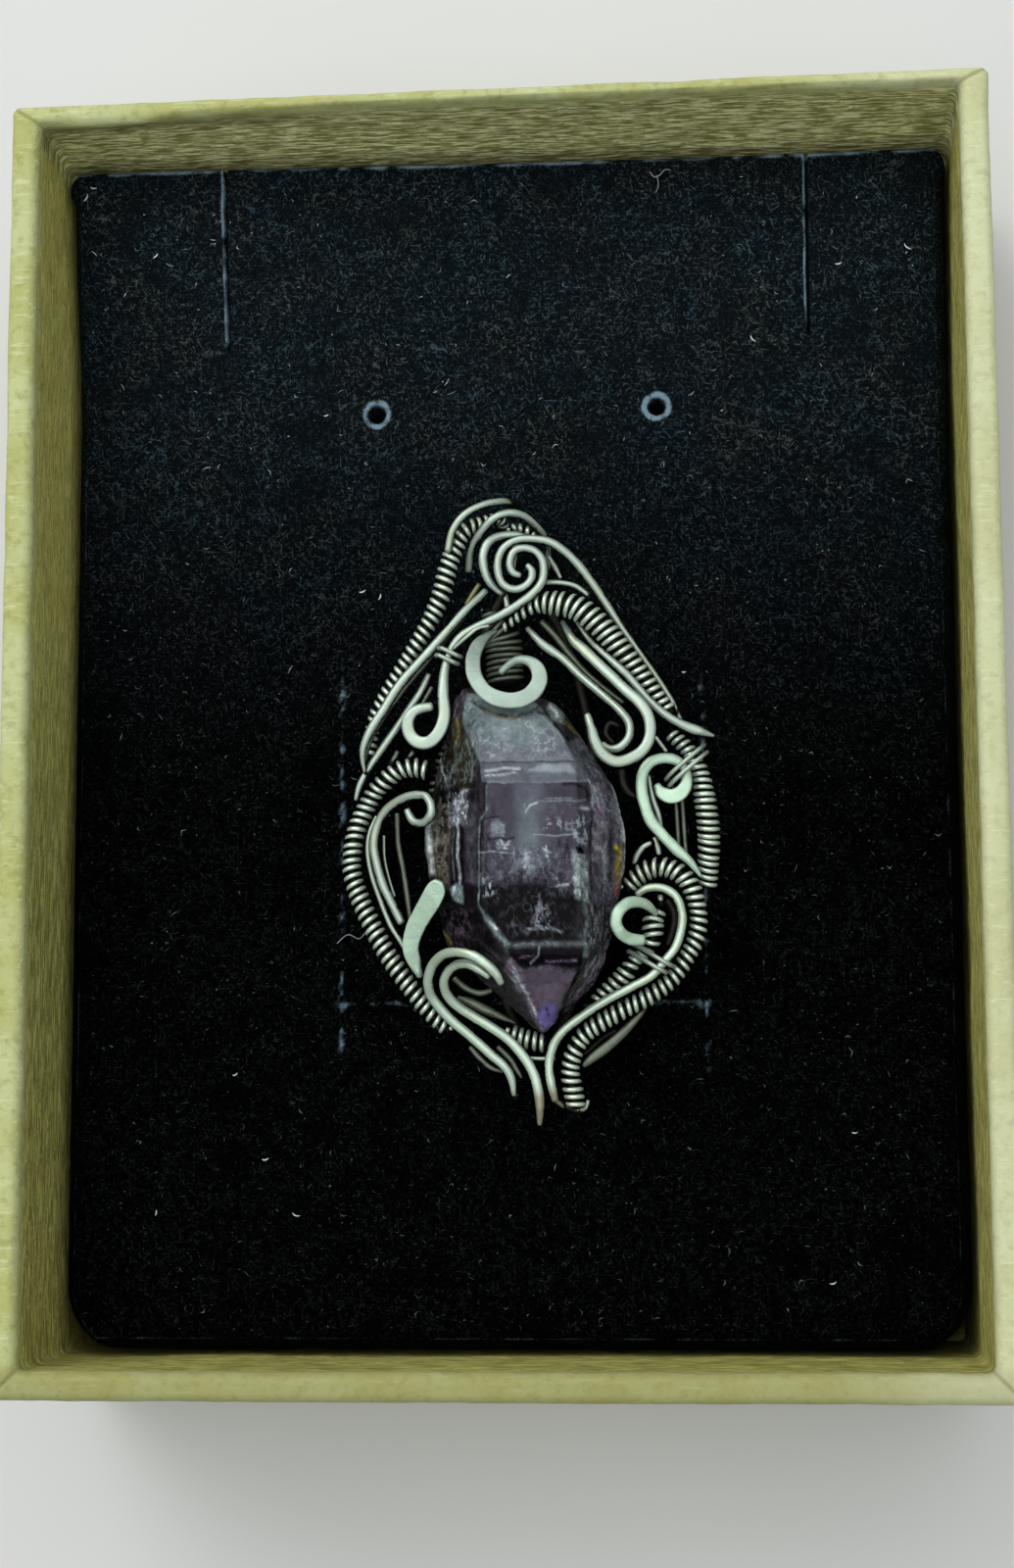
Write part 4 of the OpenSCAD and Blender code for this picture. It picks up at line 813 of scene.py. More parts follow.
def corner_half(y):
    """Half width of the pad at y: straight sides, with a quarter circle at each corner, wider at the near end."""
    reach = np.where(y < 0, 4.5, 1.5)
    over = np.clip(np.abs(y) - (PAD_HALF[1] - reach), 0, reach)
    return PAD_HALF[0] - reach + np.sqrt(np.maximum(reach**2 - over**2, 0))


def pad_height(x, y, nap):
    """Height of the pad's face and how frayed it is. The face is a plane with noise that curves up towards the
    far end, most at its left. Within 1.5 of the outline it falls away as an ellipse. Each cut is a line of
    raised lips, with a groove beside it for the two far cuts, and each post hole is a shaft in a dimple."""
    flat = np.stack([x, y, np.zeros_like(x)], axis=-1)
    z = PAD_TOP - 0.12 + 0.06 * noise(flat, 7, 21) + nap * (noise(flat, 1.1, 22) + 0.7 * noise(flat, 0.45, 23))
    rise, rise_more_left = 1.5, 1.3
    z = z + ease(y, 24, PAD_HALF[1]) * (rise + rise_more_left * ease(-x, -15, PAD_HALF[0]))
    inset = np.minimum(corner_half(y) - np.abs(x), PAD_HALF[1] - np.abs(y))
    wide = np.where(PAD_HALF[1] - y < 2, 0.4, 1.35 + 0.12 * noise(flat, 5, 24))
    t = np.clip((wide - inset) / wide, 0, 1)
    z = z - 3.4 * np.minimum(wide, 1) * (1 - np.sqrt(np.maximum(1 - t * t, 0)))
    fray = 0.55 * bell(inset - 1.05, 0.16) * (0.6 + 0.25 * noise(flat, 1.2, 25)) * (wide > 1)
    fray = fray + 0.8 * bell(PAD_HALF[1] - 0.3 - y, 0.25) * (0.8 + noise(flat, 0.9, 41))
    for number, cut in enumerate(CUTS):
        far = cut[1] > 20
        groove, lips, near, haze, speckle = (0.9, 0.08, 0.95, 0.1, 0.35) if far else (0, 0.028, 0.08, 0.34, 0.7)
        d = gap_to(x + 0.07 * noise(flat, 1.8, 26), y + 0.07 * noise(flat, 1.8, 27), cut)
        beside = gap_to(x - 0.19, y + 0.16, cut)
        z = z - groove * (1 - ease(beside, 0.03, 0.16)) + lips * bell(d, 0.16)
        ragged = np.maximum(0.66 + speckle * (noise(flat, 0.8, 28 + number) + noise(flat, 0.25, 35 + number)), 0)
        fray = fray + (near * bell(d, 0.12) + haze * bell(d, 0.5)) * ragged
    for hole in POST_HOLES:
        d = np.hypot(x - hole[0], y - hole[1])
        z = z - 3.5 * (1 - ease(d, 0.3, 0.66)) - 0.15 * bell(d, 1.6)
        fray = fray + 1.3 * bell(d - 0.88, 0.24) * (0.8 + 0.4 * noise(flat, 0.5, 40))
    return z, np.clip(fray, 0, 1.2)


def lines(low, high, step, spots):
    """Grid lines at an even step, with more of them near each spot of (middle, reach, step)."""
    parts = [np.linspace(low, high, int((high - low) / step) + 1)]
    parts += [np.arange(middle - reach, middle + reach, fine) for middle, reach, fine in spots]
    every = np.unique(np.clip(np.concatenate(parts), low, high))
    least = 0.035
    return every[np.concatenate([[True], np.diff(every) > least])]


def pad_skin(look):
    """The pad: a height over a grid of x and y that is squeezed at the corners to the rounded outline, with side
    walls down from its border and a flat underside."""
    w, l = PAD_HALF
    edge, hole, cut = (1.6, 0.2), (1.5, 0.13), (0.5, 0.07)
    spots = [(-w, *edge), (w, *edge)] + [(x, *hole) for x in POST_HOLES[:, 0]] + [(x, *cut) for x in CUTS[:4, 0]]
    x = lines(-w, w, look.grid_step, spots)
    y = lines(-l, l, look.grid_step, [(-l, *edge), (l, *edge), (POST_HOLES[0, 1], *hole), (CUTS[4, 1], 0.7, 0.12)])
    grid_y, grid_x = np.meshgrid(y, x, indexing="ij")
    start = w - 6
    beyond = np.clip((np.abs(grid_x) - start) / (w - start), 0, 1)
    squeezed = np.sign(grid_x) * (start + beyond * (corner_half(grid_y) - start))
    grid_x = np.where(np.abs(grid_x) > start, squeezed, grid_x)
    z, fray = pad_height(grid_x, grid_y, look.nap)
    top = np.stack([grid_x, grid_y, z], axis=-1)
    skin = Skin().grid(top, x / UV_SIDE, y / UV_SIDE, closed=False, capped=False, fray=fray)
    rows, columns = grid_x.shape
    number = np.arange(rows * columns).reshape(rows, columns)
    border = np.concatenate([number[0, :-1], number[:-1, -1], number[-1, :0:-1], number[:0:-1, 0]])
    under = top.reshape(-1, 3)[border].copy()
    under[:, 2] = PAD_BASE
    below = skin.count + np.arange(len(border))
    step_on = np.roll(np.arange(len(border)), -1)
    walls = np.column_stack([border, below, below[step_on], border[step_on]])
    side_step, side_high = 0.004, 0.14
    around = np.arange(len(border)) * side_step
    low, high = np.zeros(len(border)), np.full(len(border), side_high)
    uv = np.column_stack([around, low, around, high, around + side_step, high, around + side_step, low])
    skin.faces(walls, uv.reshape(-1, 2))
    skin.faces(below[::-1][None], under[::-1, :2] / UV_SIDE)
    skin.dots(under, fray=np.zeros(len(under)))
    return skin


def fibre_skin(count, nap, seed, reach, thick, shades):
    """Flock fibres: three-sided prisms of three rings each, strewn at random over the pad's face and lying on it.
    They are brighter towards the far end, a painted light, and duller round the middle, a painted shade where the
    pendant shades them."""
    half_x, half_y = 30.6, 41.4
    rng = np.random.default_rng(seed)
    x = rng.uniform(-half_x, half_x, count)
    y = rng.uniform(-half_y, half_y, count)
    turn = rng.normal(0, 0.9, count)
    length = 0.06 + reach * rng.beta(1.3, 4, count)
    bend = rng.normal(0, 0.9, count)
    radius = rng.uniform(0.4, 1, count) * thick
    k = np.array([-1.0, 0.0, 1.0])
    heading = turn[:, None] + bend[:, None] * k
    px = x[:, None] + length[:, None] * k * np.cos(heading)
    py = y[:, None] + length[:, None] * k * np.sin(heading)
    z, _ = pad_height(px, py, nap)
    pz = z + 0.03 + rng.uniform(0.02, 0.12, count)[:, None] * np.array([0.2, 1, 0.5])
    line = np.stack([px, py, pz], axis=2)
    t = unit(line[:, 2] - line[:, 0])
    side = unit(np.cross([0.0, 0, 1], t))
    up = np.cross(t, side)
    angle = 2 * np.pi * np.arange(3) / 3
    ring = side[:, None] * np.cos(angle)[:, None] + up[:, None] * np.sin(angle)[:, None]
    slim = np.array([0.5, 1, 0.4])
    points = line[:, :, None] + ring[:, None] * (radius[:, None] * slim)[:, :, None, None]
    first = np.arange(count)[:, None] * 9
    i, j = np.array([0, 0, 0, 1, 1, 1]) * 3, np.array([0, 1, 2, 0, 1, 2])
    k = (j + 1) % 3
    quads = np.stack([i + j, i + k, i + 3 + k, i + 3 + j], axis=1)
    skin = Skin()
    uv = np.tile([[0, 0], [1, 0], [1, 1], [0, 1]], (count * 6, 1)).astype(float)
    skin.faces((first[:, :, None] + quads[None]).reshape(-1, 4), uv)
    for ends in (np.array([2, 1, 0]), np.array([6, 7, 8])):
        skin.faces(first + ends[None], np.tile([[0.0, 0], [1, 0], [0, 1]], (count, 1)))
    # Painted light towards the far end, and painted shade round the middle under the pendant
    bright = rng.beta(*shades, count) * (0.32 + 0.68 * ease(y, -6, 34))
    outside_pendant_shade = ease(np.hypot(x, y + 3), 3, 10)
    skin.dots(points.reshape(-1, 3), shade=np.repeat(bright * (0.4 + 0.6 * outside_pendant_shade), 9))
    return skin


def read_place(points):
    """Where a point of the crystal shows in the picture, as x and y on the plane that its features were read on:
    a point over that plane shows further from the camera's foot."""
    share = (CAMERA_AT[2] - PAD_TOP - READING_HEIGHT) / (CAMERA_AT[2] - points[..., 2])
    x = CAMERA_AT[0] + (points[..., 0] - CAMERA_AT[0]) * share
    y = CAMERA_AT[1] + (points[..., 1] - CAMERA_AT[1]) * share
    return x, y


def patch(x, y, corners, soft):
    """1 inside a convex outline whose corners run anticlockwise, fading to 0 over the soft width at its edge."""
    inside = np.full(x.shape, np.inf)
    for start, end in zip(corners, np.roll(corners, -1, axis=0)):
        along = (end - start) / np.hypot(*(end - start))
        inside = np.minimum(inside, along[0] * (y - start[1]) - along[1] * (x - start[0]))
    return ease(inside, -soft, soft)


def streak(x, y, corners, width):
    """A line through the corners that fades out over the width to each side."""
    nearest = np.full(x.shape, np.inf)
    for start, end in zip(corners[:-1], corners[1:]):
        nearest = np.minimum(nearest, gap_to(x, y, np.concatenate([start, end])))
    return bell(nearest, width)


def crystal_planes():
    """Normals and distances of the crystal's faces from its inner centre, read from the part's own solid."""
    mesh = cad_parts["crystal"].data
    count = len(mesh.polygons)
    normals, middles = np.empty(count * 3), np.empty(count * 3)
    mesh.polygons.foreach_get("normal", normals)
    mesh.polygons.foreach_get("center", middles)
    normals, middles = normals.reshape(-1, 3), middles.reshape(-1, 3) / MM
    far = np.sum(normals * (middles - CRYSTAL_CENTRE), axis=1)
    every = np.unique(np.round(np.column_stack([normals, far]), 2), axis=0, return_index=True)[1]
    return normals[every], far[every]


def crystal_skin(look):
    """The crystal: in each direction from an inner centre its distance is the smooth least of the distances to the
    part's own face planes, a p-norm of their ratios. Growth steps, ridges and chips are added to that distance.
    Directions stand closer together on the front."""
    normals, far = crystal_planes()
    polar = np.linspace(0, np.pi, look.rows + 2)[1:-1][:, None]
    even_turn = 2 * np.pi * np.arange(look.columns) / look.columns
    azimuth = (even_turn - 0.5 * np.cos(even_turn))[None]
    way = np.stack(np.broadcast_arrays(np.sin(polar) * np.cos(azimuth), np.cos(polar) + 0 * azimuth,
                                       -np.sin(polar) * np.sin(azimuth)), axis=-1)
    ratio = np.maximum(way @ normals.T / far, 0)
    power = 150
    distance = (ratio**power).sum(axis=2) ** (-1 / power)
    points = CRYSTAL_CENTRE + way * distance[..., None]
    x, y = read_place(points)
    front = ease(points[..., 2], PAD_TOP + 6.5, PAD_TOP + 8.5)
    jitter = 0.12 * noise(points, 1.4, 61)
    steps, half_step = 0.0, 0.08
    for level, drop in GROWTH_STEPS:
        steps = steps + drop * ease(y + jitter, level - half_step, level + half_step)
    ridges = 0.022 * noise(points * [0.12, 1, 0.12], 0.22, 62) + 0.02 * noise(points * [0.2, 1, 0.2], 0.6, 63)
    body = ease(y, -15.6, -14.8) * (1 - ease(y, -3.2, -2.4))
    chips = 0.16 * np.minimum(noise(points, 1.3, 64) + 0.25, 0) + 0.05 * noise(points, 0.55, 65)
    rough_side = 1 - front + front * ease(-x, 1.2, 2.6) * 0.5
    root = ease(y, 0.6, 2.4)
    distance = distance - steps * front * 0.6 + ridges * body * front + chips * (0.25 + 0.9 * rough_side)
    distance = distance + (0.22 * noise(points, 1.0, 66) - 0.1) * root + 0.012 * noise(points, 0.2, 67)
    ceiling = (CRYSTAL_TOP - CRYSTAL_CENTRE[2]) / np.maximum(way[..., 2], 1e-3)
    distance = np.where(way[..., 2] > 0, np.minimum(distance, ceiling), distance)
    points = CRYSTAL_CENTRE + way * distance[..., None]
    u = np.arange(look.columns + 1) / look.columns
    v = np.arange(look.rows) / look.rows
    tint, gloss, flaw = crystal_tint(points)
    return Skin().grid(points, u, v, tint=tint, gloss=gloss, flaw=flaw)


# Growth steps across the crystal's front: y in the picture and drop
GROWTH_STEPS = ((-2.35, 0.07), (-2.95, 0.06), (-3.35, 0.09), (-4.9, 0.05), (-14.2, 0.06), (-15.2, 0.07))
# Tones of the crystal, as they show; snow is the white of painted glints and highlights, and of white flecks and
# frills
TONES = {
    "ink": (5, 4, 7), "soot": (20, 18, 22), "smoke": (42, 40, 44), "bark": (42, 39, 30), "plum": (68, 66, 76),
    "wine": (72, 60, 68), "mauve": (94, 84, 97), "lilac": (112, 101, 119), "violet": (108, 96, 158),
    "slate": (94, 97, 106), "mist": (106, 120, 121), "moss": (96, 106, 104), "frost": (140, 151, 155),
    "snow": (182, 191, 194), "gold": (186, 166, 50), "brass": (112, 101, 58), "rust": (150, 56, 40),
    "umber": (98, 93, 84),
}
# What shows on the crystal, layer over layer: kind, share, tone, softness, then x, y of each corner. Patches run
# anticlockwise; chips are flecks and frills are curly hairlines inside such a patch; lines fade out to each side.
CRYSTAL_LAYERS = [
    ("patch", 0.95, "soot", 0.3, -5.8, -4, -5.2, -12, -1.5, -12.3, -1.6, -4, -3, 0.5, -4.6, -0.5),
    ("chips", 0.4, "moss", 0.3, -5.6, -4, -5.2, -11, -3.7, -11, -3.6, -4),
    ("patch", 0.8, "bark", 0.3, -6, -4, -5.8, -11, -4.5, -11, -4.5, -4),
    ("chips", 0.8, "ink", 0.3, -6, -4, -5.8, -11, -4.2, -11, -4.2, -4),
    ("frill", 0.35, "moss", 0.5, -5.8, -4, -5, -11, -3.6, -11, -3.6, -4),
    ("line", 0.9, "ink", 0.16, -4.1, -4.2, -4, -6.6, -4.2, -8.4, -4, -11),
    ("patch", 0.7, "ink", 0.3, -4.7, -4, -4.8, -11, -3.7, -11, -3.7, -4),
    ("line", 0.7, "moss", 0.08, -4.9, -5.2, -5.3, -6.6, -5.3, -8.3, -5, -10),
    ("patch", 0.7, "umber", 0.25, -5.3, -4.8, -5.3, -10.2, -3.7, -10.8, -3.6, -5),
    ("chips", 0.9, "soot", 0.15, -5.2, -4.8, -5.2, -10.2, -3.7, -10.8, -3.6, -5),
    ("line", 0.9, "snow", 0.18, -5.05, -5.2, -5.15, -6.6, -5.05, -8, -4.9, -9.6),
    ("line", 0.6, "moss", 0.09, -4.3, -4.4, -4.5, -6.6, -4.7, -8.2),
    ("patch", 0.9, "bark", 0.25, -4.6, -3.6, -2.1, -3.6, -1.6, -1.4, -2.4, 0, -2.9, 1.6, -4.4, 0.2),
    ("patch", 0.5, "ink", 0.3, -4.7, -3.8, -3.2, -3.8, -3.4, 0, -3.6, 1, -4.4, 0.2),
    ("chips", 1.0, "ink", 0.2, -4.7, -3.8, -2.6, -3.8, -2.8, 0, -3.2, 1.2, -4.4, 0.2),
    ("chips", 0.45, "moss", 0.3, -4.6, -3.8, -2, -3.8, -1.8, -1.6, -2.8, 0.6, -4.4, 0.2),
    ("line", 0.8, "brass", 0.1, -3.1, 1.1, -2.95, 0.2, -3.2, -0.6),
    ("line", 0.6, "frost", 0.07, -4.4, -1, -4.2, -2.4, -3.8, -3.6),
    ("line", 0.5, "mist", 0.08, -2.4, -0.4, -2, -1.8, -2.1, -3.2),
    ("patch", 0.9, "smoke", 0.2, -3.6, 3.4, -3.5, 1.2, -2.7, 1.2, -2.4, 2.6, -2.7, 3.4),
    ("chips", 0.5, "lilac", 0.2, -3.6, 3.4, -3.5, 1.2, -2.7, 1.2, -2.4, 2.6, -2.7, 3.4),
    ("patch", 1.0, "mist", 0.08, -1.5, -2, 5.5, -2, 5.3, -1.2, 4.1, 0.2, 3.4, 1.3, 2.9, 2.2, -2.4, 2.9, -2.75,
     1, -2.2, -0.3),
    ("patch", 0.7, "slate", 0.3, -1.6, -1.6, -0.9, -1.6, -1.6, 0.3, -2.4, 0.9, -2.6, 0.6, -2.1, -0.4),
    ("patch", 0.4, "lilac", 0.5, -1.3, -2, 5.3, -2, 4.8, -1, -1.2, -1),
    ("patch", 0.3, "frost", 0.7, 0.2, -0.9, 3.8, -0.6, 2.6, 1.1, -1.4, 1.3),
    ("patch", 0.5, "slate", 0.5, 2.8, -1.4, 5, -1.6, 4.4, -0.4, 3.4, 0.8, 2.6, 0.4),
    ("chips", 0.4, "slate", 0.3, -1.2, -1.8, 4.8, -1.8, 3.2, 1.3, -2.2, 2),
    ("frill", 0.5, "snow", 0.5, -1.2, -1.8, 4.8, -1.8, 3.2, 1.3, -2, 1.9),
    ("line", 0.8, "frost", 0.14, 0.3, -0.7, 0.8, -0.9, 0.7, -1.2),
    ("line", 0.9, "bark", 0.16, -2.1, 2.3, -1.3, 1.75, -0.5, 1.4, 1, 1.15, 2.2, 1.55, 2.9, 2.1),
    ("line", 0.7, "brass", 0.07, -1.1, 1.6, -0.2, 1.2, 1.2, 1),
    ("line", 0.95, "ink", 0.08, 2.6, 1.5, 3.3, 1.2, 4.1, 0.2, 4.8, -0.6),
    ("line", 0.7, "frost", 0.06, 3, 1.1, 3.8, 0.2, 4.4, -0.6),
    ("patch", 1.0, "moss", 0.15, 3.6, 0.9, 4.4, 0.6, 4.8, 1.3, 4.2, 2.4, 3.4, 2.4, 3.2, 1.7),
    # Painted highlight on the rounded lobe at the root
    ("line", 0.9, "snow", 0.14, 3.4, 1.9, 3.8, 1.6, 3.9, 1.2),
    ("line", 0.9, "soot", 0.1, 4.5, 0.8, 4.75, 1.6, 4.3, 2.3),
    ("line", 0.8, "brass", 0.14, 4.5, 0.7, 5.1, 0.2, 5.6, -0.4),
    ("patch", 0.85, "slate", 0.2, 5.4, -3.4, 7.9, -3.4, 7.2, -1.9, 5.7, -0.4, 4.9, -0.6),
    ("chips", 0.6, "smoke", 0.3, 5.4, -4, 8, -4, 7.2, -1.9, 5.7, -0.4, 4.9, -0.6),
    ("frill", 0.5, "frost", 0.3, 5.4, -4, 8, -4, 7.2, -1.9, 5.7, -0.4, 4.9, -0.6),
    ("patch", 1.0, "slate", 0.06, -1.35, -3.4, 6, -3.4, 5.6, -2, -1.5, -2),
    ("patch", 0.8, "frost", 0.12, 1.8, -2.7, 5.2, -2.8, 4.8, -2.2, 3, -2.15),
    # Painted reflections: white streaks along the growth steps
    ("line", 1.0, "snow", 0.08, -1.1, -2.6, 0.3, -2.45, 1.3, -2.5),
    ("line", 0.8, "snow", 0.07, -1.1, -2.95, 0.2, -2.9, 1.1, -2.7),
    ("line", 0.7, "smoke", 0.05, -1.1, -2.78, 0.4, -2.68, 1.5, -2.62),
    ("line", 0.7, "smoke", 0.05, -1.3, -2.02, 5.5, -2.02),
    ("line", 0.7, "frost", 0.06, -1, -3.42, 3, -3.45, 6.2, -3.4),
    ("patch", 1.0, "plum", 0.1, -1.5, -10.6, 6.2, -10.6, 6.2, -3.5, -1, -3.5),
    ("patch", 0.9, "slate", 0.9, 1, -9.4, 3.2, -9.4, 2.8, -3.6, 1.2, -3.6),
    ("patch", 0.4, "mist", 0.7, 1.2, -8, 2.6, -8, 2.4, -5, 1.4, -5),
    ("patch", 0.6, "slate", 0.4, 0.9, -4.9, 1.9, -4.6, 2, -3.6, 1, -3.6),
    ("patch", 0.5, "smoke", 0.3, 3.6, -4.7, 5.8, -4.7, 5.9, -3.7, 3.8, -3.7),
    ("chips", 0.5, "slate", 0.3, 3, -6, 5.8, -6, 5.8, -4.9, 3, -4.9),
    ("patch", 0.5, "wine", 0.45, 2.9, -7, 4.9, -7, 4.9, -5.7, 2.9, -5.7),
    ("patch", 0.25, "wine", 0.4, -0.9, -6, 0.6, -6, 0.6, -3.8, -0.9, -3.8),
    ("line", 0.9, "soot", 0.13, 4.3, -3.6, 5.2, -3.6, 5.9, -4, 6.05, -4.8),
    ("line", 0.6, "frost", 0.05, 2.3, -4.82, 6, -4.78),
    ("line", 1.0, "snow", 0.06, 2.4, -4.9, 1.95, -5.05, 1.7, -5.5),
    ("line", 0.7, "frost", 0.06, 1.6, -5, 1.65, -5.3),
    ("line", 0.6, "frost", 0.04, 3, -4.62, 4.9, -4.6),
    ("chips", 0.9, "frost", 0.15, 5, -7.8, 5.9, -8, 6.3, -5.7, 4.9, -5.8),
    ("line", 0.95, "snow", 0.13, 5.55, -5.3, 6.05, -5.4),
    ("line", 0.7, "frost", 0.05, 4.8, -6.4, 6.1, -6.3),
    ("line", 0.8, "frost", 0.05, 2.2, -7.1, 3.6, -7.2, 5.4, -7.1),
    ("chips", 0.7, "frost", 0.2, 2.9, -6.8, 4.8, -6.8, 4.5, -6, 3.2, -6),
    ("chips", 0.7, "soot", 0.2, 3.2, -8.4, 5.2, -8.2, 5, -7.4, 3.4, -7.4),
    ("patch", 0.45, "frost", 0.2, -0.6, -7.1, 0.1, -7.2, 0.2, -6.4, -0.3, -6, -0.7, -6.4),
    ("chips", 0.7, "frost", 0.12, -0.6, -7.2, 0.2, -7.4, 0.3, -6.3, -0.3, -6, -0.8, -6.4),
    ("patch", 0.35, "frost", 0.15, -0.4, -8.1, 0.3, -8.1, 0.5, -7.6, -0.3, -7.5),
    ("chips", 0.6, "snow", 0.12, -0.5, -8.3, 0.4, -8.3, 0.6, -7.5, -0.4, -7.4),
    ("line", 0.8, "soot", 0.08, -0.9, -7.4, -0.2, -7.3, 0.3, -7.5, 0.8, -7.3),
    ("line", 0.8, "frost", 0.06, -2.4, -8.3, -0.6, -8.25, 0.9, -8.35),
    ("chips", 0.8, "slate", 0.3, -1.4, -9.9, 0.6, -9.9, 0.6, -8.4, -1.4, -8.4),
    ("chips", 0.35, "frost", 0.5, 0.4, -10.6, 4.2, -10.6, 3.8, -8.2, 0.8, -8.2),
    ("chips", 0.5, "smoke", 0.4, -1.2, -10.4, 4.4, -10.4, 4, -9.2, -1, -9),
    ("frill", 0.6, "frost", 0.5, 0.4, -10.8, 4, -10.8, 3.8, -7.8, 0.8, -7.8),
    # Painted glint: a small white cross
    ("line", 1.0, "snow", 0.08, 2.95, -8.1, 3.35, -8.35),
    ("line", 1.0, "snow", 0.06, 3.1, -7.9, 3.15, -8.6),
    ("chips", 0.8, "soot", 0.4, -1.2, -11, 5, -11, 4.4, -9, 2.5, -9.4, -0.6, -9),
    ("patch", 1.0, "ink", 0.6, -1.3, -13.4, 0.4, -14.8, 5, -14.8, 5.4, -11.4, 4, -10.6, -0.9, -10.5),
    ("chips", 0.25, "plum", 0.5, -0.9, -14, 5, -14.4, 5, -10.4, -0.8, -10.4),
    ("frill", 0.4, "slate", 0.5, -0.9, -14, 5, -14.4, 5, -10.4, -0.8, -10.4),
    ("chips", 0.4, "frost", 0.2, 2.1, -13.6, 3.4, -13.6, 2.8, -11.1, 2.5, -11.1),
    ("line", 0.8, "lilac", 0.07, 2.6, -11.3, 2.7, -12.2, 2.3, -13.2),
    ("line", 0.7, "frost", 0.06, 1.7, -13.7, 3.3, -13.6, 4.2, -13.9),
    ("line", 0.9, "frost", 0.07, 3.8, -10.7, 4.6, -10.6),
    ("chips", 0.8, "frost", 0.15, -1.5, -11.3, -0.6, -11.3, -0.7, -9.8, -1.5, -9.8),
    ("patch", 0.85, "moss", 0.12, 5.1, -11.6, 6, -12, 6, -8.9, 4.9, -8.6),
    ("chips", 0.8, "frost", 0.2, 5, -11.8, 6.1, -12, 6, -8.9, 4.9, -8.6),
    ("line", 0.7, "snow", 0.07, 5.1, -8.7, 5.7, -9, 5.95, -9.8),
    ("patch", 0.6, "frost", 0.2, 5.2, -10.6, 6, -10.4, 5.9, -8.5, 4.9, -8.3),
    ("patch", 0.95, "ink", 0.08, 5.3, -8.5, 5.9, -8.5, 5.5, -8, 5.1, -8),
    ("line", 0.8, "moss", 0.17, 5.7, -12, 6, -13, 5.6, -14.2),
    ("line", 0.95, "snow", 0.08, 5.4, -11.1, 5.45, -11.4),
    ("patch", 0.85, "smoke", 0.12, -2.3, -10.6, -1.7, -10.6, -1.2, -3.8, -2.3, -3.8),
    ("chips", 0.35, "ink", 0.15, -2.7, -10.6, -1.7, -10.6, -1.4, -3.8, -2.3, -3.8),
    ("patch", 0.5, "plum", 0.2, -2.6, -4.8, -2.6, -10.4, -1.7, -10.4, -1.7, -4.8),
    ("chips", 0.7, "slate", 0.2, -1.6, -14.6, -0.4, -14.4, -0.8, -12.6, -2.3, -12.8),
    ("patch", 0.8, "slate", 0.2, -3.5, -6.4, -2.5, -6.4, -2.4, -4, -3.4, -4.4),
    ("chips", 0.9, "snow", 0.2, -3.6, -6.5, -2.5, -6.5, -2.3, -3.9, -3.6, -4.2),
    ("chips", 0.4, "soot", 0.2, -3.7, -6.4, -3, -6.4, -2.8, -4.6, -3.6, -4.6),
    ("line", 0.95, "frost", 0.08, -3.1, -6.3, -3.05, -8.4, -2.95, -10.6),
    ("line", 0.9, "ink", 0.06, -2.85, -6.3, -2.8, -8.4, -2.7, -10.6),
    ("line", 0.7, "slate", 0.05, -3.35, -6.6, -3.4, -8.3, -3.3, -10.2),
    ("line", 0.8, "mist", 0.06, -1, -3.6, -1.05, -5.4, -1.5, -6, -1.55, -8.4, -1.6, -12),
    ("line", 0.9, "soot", 0.07, -1.2, -5.95, -0.2, -5.8),
    ("line", 0.7, "ink", 0.05, -1.4, -6.2, -1.45, -11.8),
    ("patch", 0.9, "mist", 0.12, -3.4, -11.6, -2.7, -11.9, -2.7, -10.6, -3.2, -10.4, -3.6, -10.8),
    ("line", 0.9, "snow", 0.1, -3.3, -10.7, -3.4, -11.2),
    ("patch", 0.95, "soot", 0.25, -4.6, -12, -3.4, -15.4, 0.2, -15.4, -1.4, -12.2),
    ("chips", 0.7, "wine", 0.3, -3.8, -14, -2.2, -14.2, -2.2, -12.4, -3.5, -12.2),
    ("frill", 0.5, "mauve", 0.3, -4.2, -12.2, -3.2, -15.2, -1, -15, -1.6, -12.2),
    ("line", 0.9, "brass", 0.1, -4.6, -12.4, -4.2, -13.6, -3.6, -14.6),
    ("line", 1.0, "mist", 0.2, -0.9, -13, -0.3, -14, 0.2, -14.6),
    ("line", 1.0, "snow", 0.1, -0.8, -13.1, -0.4, -13.6),
    ("line", 0.9, "ink", 0.08, -0.3, -13.2, 0.2, -14, 0.6, -14.6),
    ("line", 0.6, "moss", 0.15, 0.2, -14.6, 0.7, -15.7, 1.2, -16.4),
    ("line", 0.7, "mist", 0.1, -1.6, -12, -1.1, -13),
    ("patch", 0.9, "plum", 0.2, 6.2, -12, 8.2, -12, 8.8, -8, 8.6, -5, 7.6, -3.4, 6.3, -3.4),
    ("patch", 0.8, "lilac", 0.3, 6.4, -9, 7.3, -9, 7.3, -3.6, 6.4, -3.6),
    ("patch", 0.5, "mauve", 0.3, 7.6, -11, 8.2, -11, 8.7, -6, 7.9, -4),
    ("patch", 0.5, "slate", 0.3, 7.2, -9.6, 7.7, -9.6, 8, -4.6, 7.5, -4.4),
    ("line", 0.6, "smoke", 0.18, 7.3, -3.8, 7.4, -6, 7.6, -8, 7.5, -11),
    ("chips", 0.6, "frost", 0.3, 6.3, -9, 7.3, -9, 7.3, -3.6, 6.3, -3.4),
    ("line", 0.6, "soot", 0.09, 7.5, -3.9, 7.45, -5.4, 7.7, -6.6, 7.5, -7.8, 7.75, -9.4),
    ("line", 0.6, "mist", 0.1, 7.9, -4.6, 8.1, -6.2, 8, -7.4),
    ("frill", 0.4, "frost", 0.4, 6.2, -12, 8.2, -12, 8.8, -8, 8.6, -5, 7.6, -3.4, 6.3, -3.4),
    ("patch", 0.75, "frost", 0.2, 7, -10.3, 7.3, -10.3, 7.4, -8.8, 7.1, -8.8),
